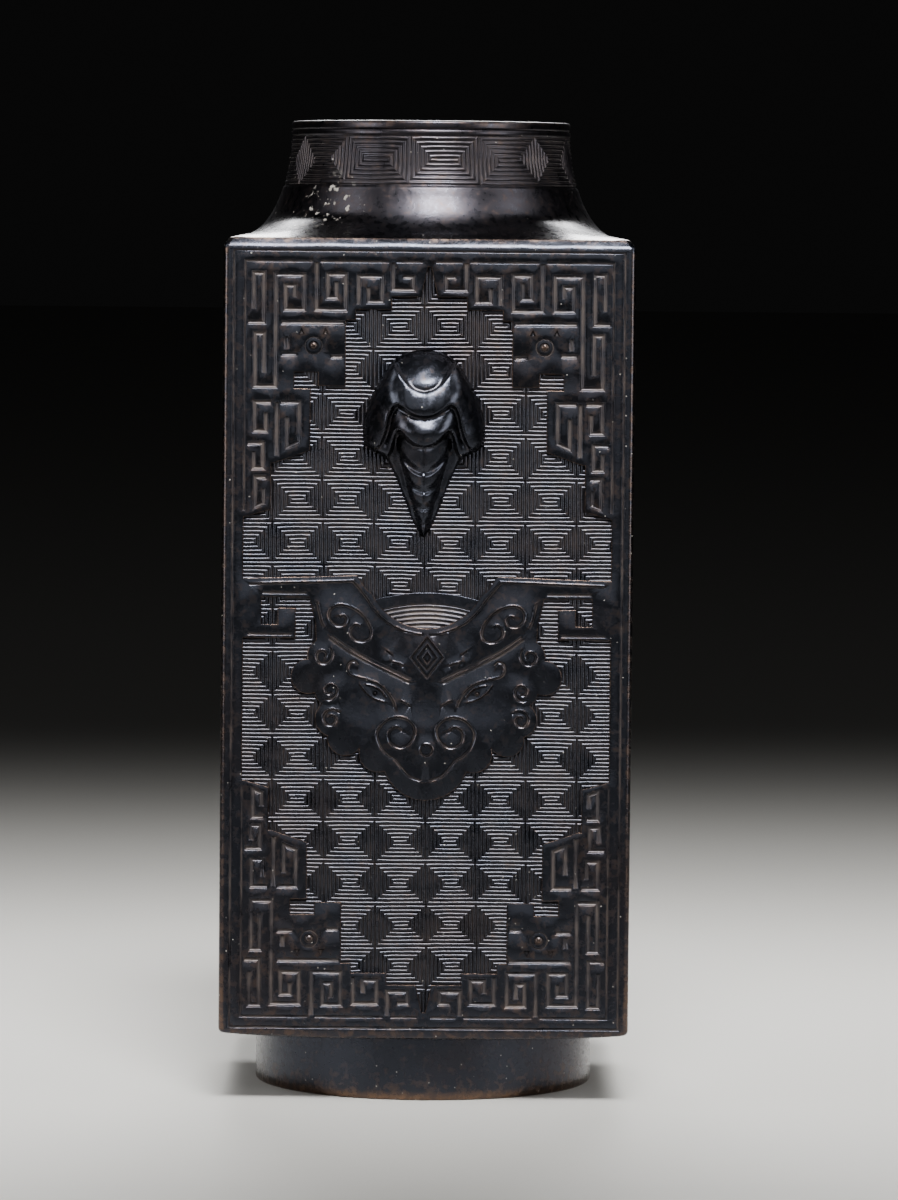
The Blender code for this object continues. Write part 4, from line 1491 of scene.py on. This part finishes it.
class VASE_OT_studio(bpy.types.Operator):
    """Set up the floor, the lights and the camera"""

    bl_idname = "vase.studio"
    bl_label = "Studio"

    def execute(self, context):
        studio = context.scene.vase_studio
        bm = bmesh.new()
        bmesh.ops.create_grid(bm, x_segments=1, y_segments=1, size=FLOOR_HALF)
        floor = new_piece("floor", bm, studio_paper(studio))
        add_softbox("key", (0.08, -0.75, 1.15), (0.0, 0.05, 0.2), (1.2, 0.5), studio.key_power, 32.0)
        add_softbox("rear", (0.0, 1.1, 0.95), (0.0, 0.0, 0.2), (1.2, 0.5), studio.rear_power, 34.0)
        add_softbox("front", (0.0, -4.0, 1.2), (0.0, 0.0, 0.25), (3.0, 2.4), studio.front_power, 160.0)
        for sign in (-1, 1):
            place = (0.8 * sign, -0.6, 0.34)
            add_softbox("side", place, (0.0, 0.0, 0.2), (0.35, 0.5), studio.side_power, 50.0)
            place = (1.0 * sign, -0.3, 1.1)
            add_softbox("shoulder", place, (0.0, 0.0, 0.25), (0.6, 0.6), studio.shoulder_power, 44.0)
        world = bpy.data.worlds.new("studio")
        world.use_nodes = True
        world.node_tree.nodes["Background"].inputs["Strength"].default_value = studio.ambient
        world.node_tree.nodes["Background"].inputs["Color"].default_value = (1.0, 1.0, 1.0, 1.0)
        context.scene.world = world
        add_camera(studio)
        return {"FINISHED"}


class VASE_PT_panel(bpy.types.Panel):
    """Sizes, colours and steps of the vase"""

    bl_idname = "VASE_PT_panel"
    bl_label = "Bronze Vase"
    bl_space_type = "VIEW_3D"
    bl_region_type = "UI"
    bl_category = "Vase"

    def draw(self, context):
        layout = self.layout
        for operator in OPERATORS:
            layout.operator(operator.bl_idname)
        for name, group in SETTINGS.items():
            layout.label(text=group.__doc__.rstrip("."))
            for item in group.__annotations__:
                layout.prop(getattr(context.scene, name), item)


SETTINGS = {
    "vase_sizes": VesselSizes,
    "vase_relief": ReliefSizes,
    "vase_finish": FinishColours,
    "vase_studio": StudioSettings,
}
OPERATORS = (VASE_OT_casting, VASE_OT_grounds, VASE_OT_neck_band, VASE_OT_cicadas, VASE_OT_studio)
CLASSES = (*SETTINGS.values(), *OPERATORS, VASE_PT_panel)


def register():
    noise.seed_set(SEED)
    for cls in CLASSES:
        bpy.utils.register_class(cls)
    for name, group in SETTINGS.items():
        setattr(bpy.types.Scene, name, PointerProperty(type=group))


def unregister():
    for name in SETTINGS:
        delattr(bpy.types.Scene, name)
    for cls in reversed(CLASSES):
        bpy.utils.unregister_class(cls)


def main():
    register()
    for step in ("casting", "grounds", "neck_band", "cicadas", "studio"):
        getattr(bpy.ops.vase, step)()


if __name__ == "__main__":
    main()
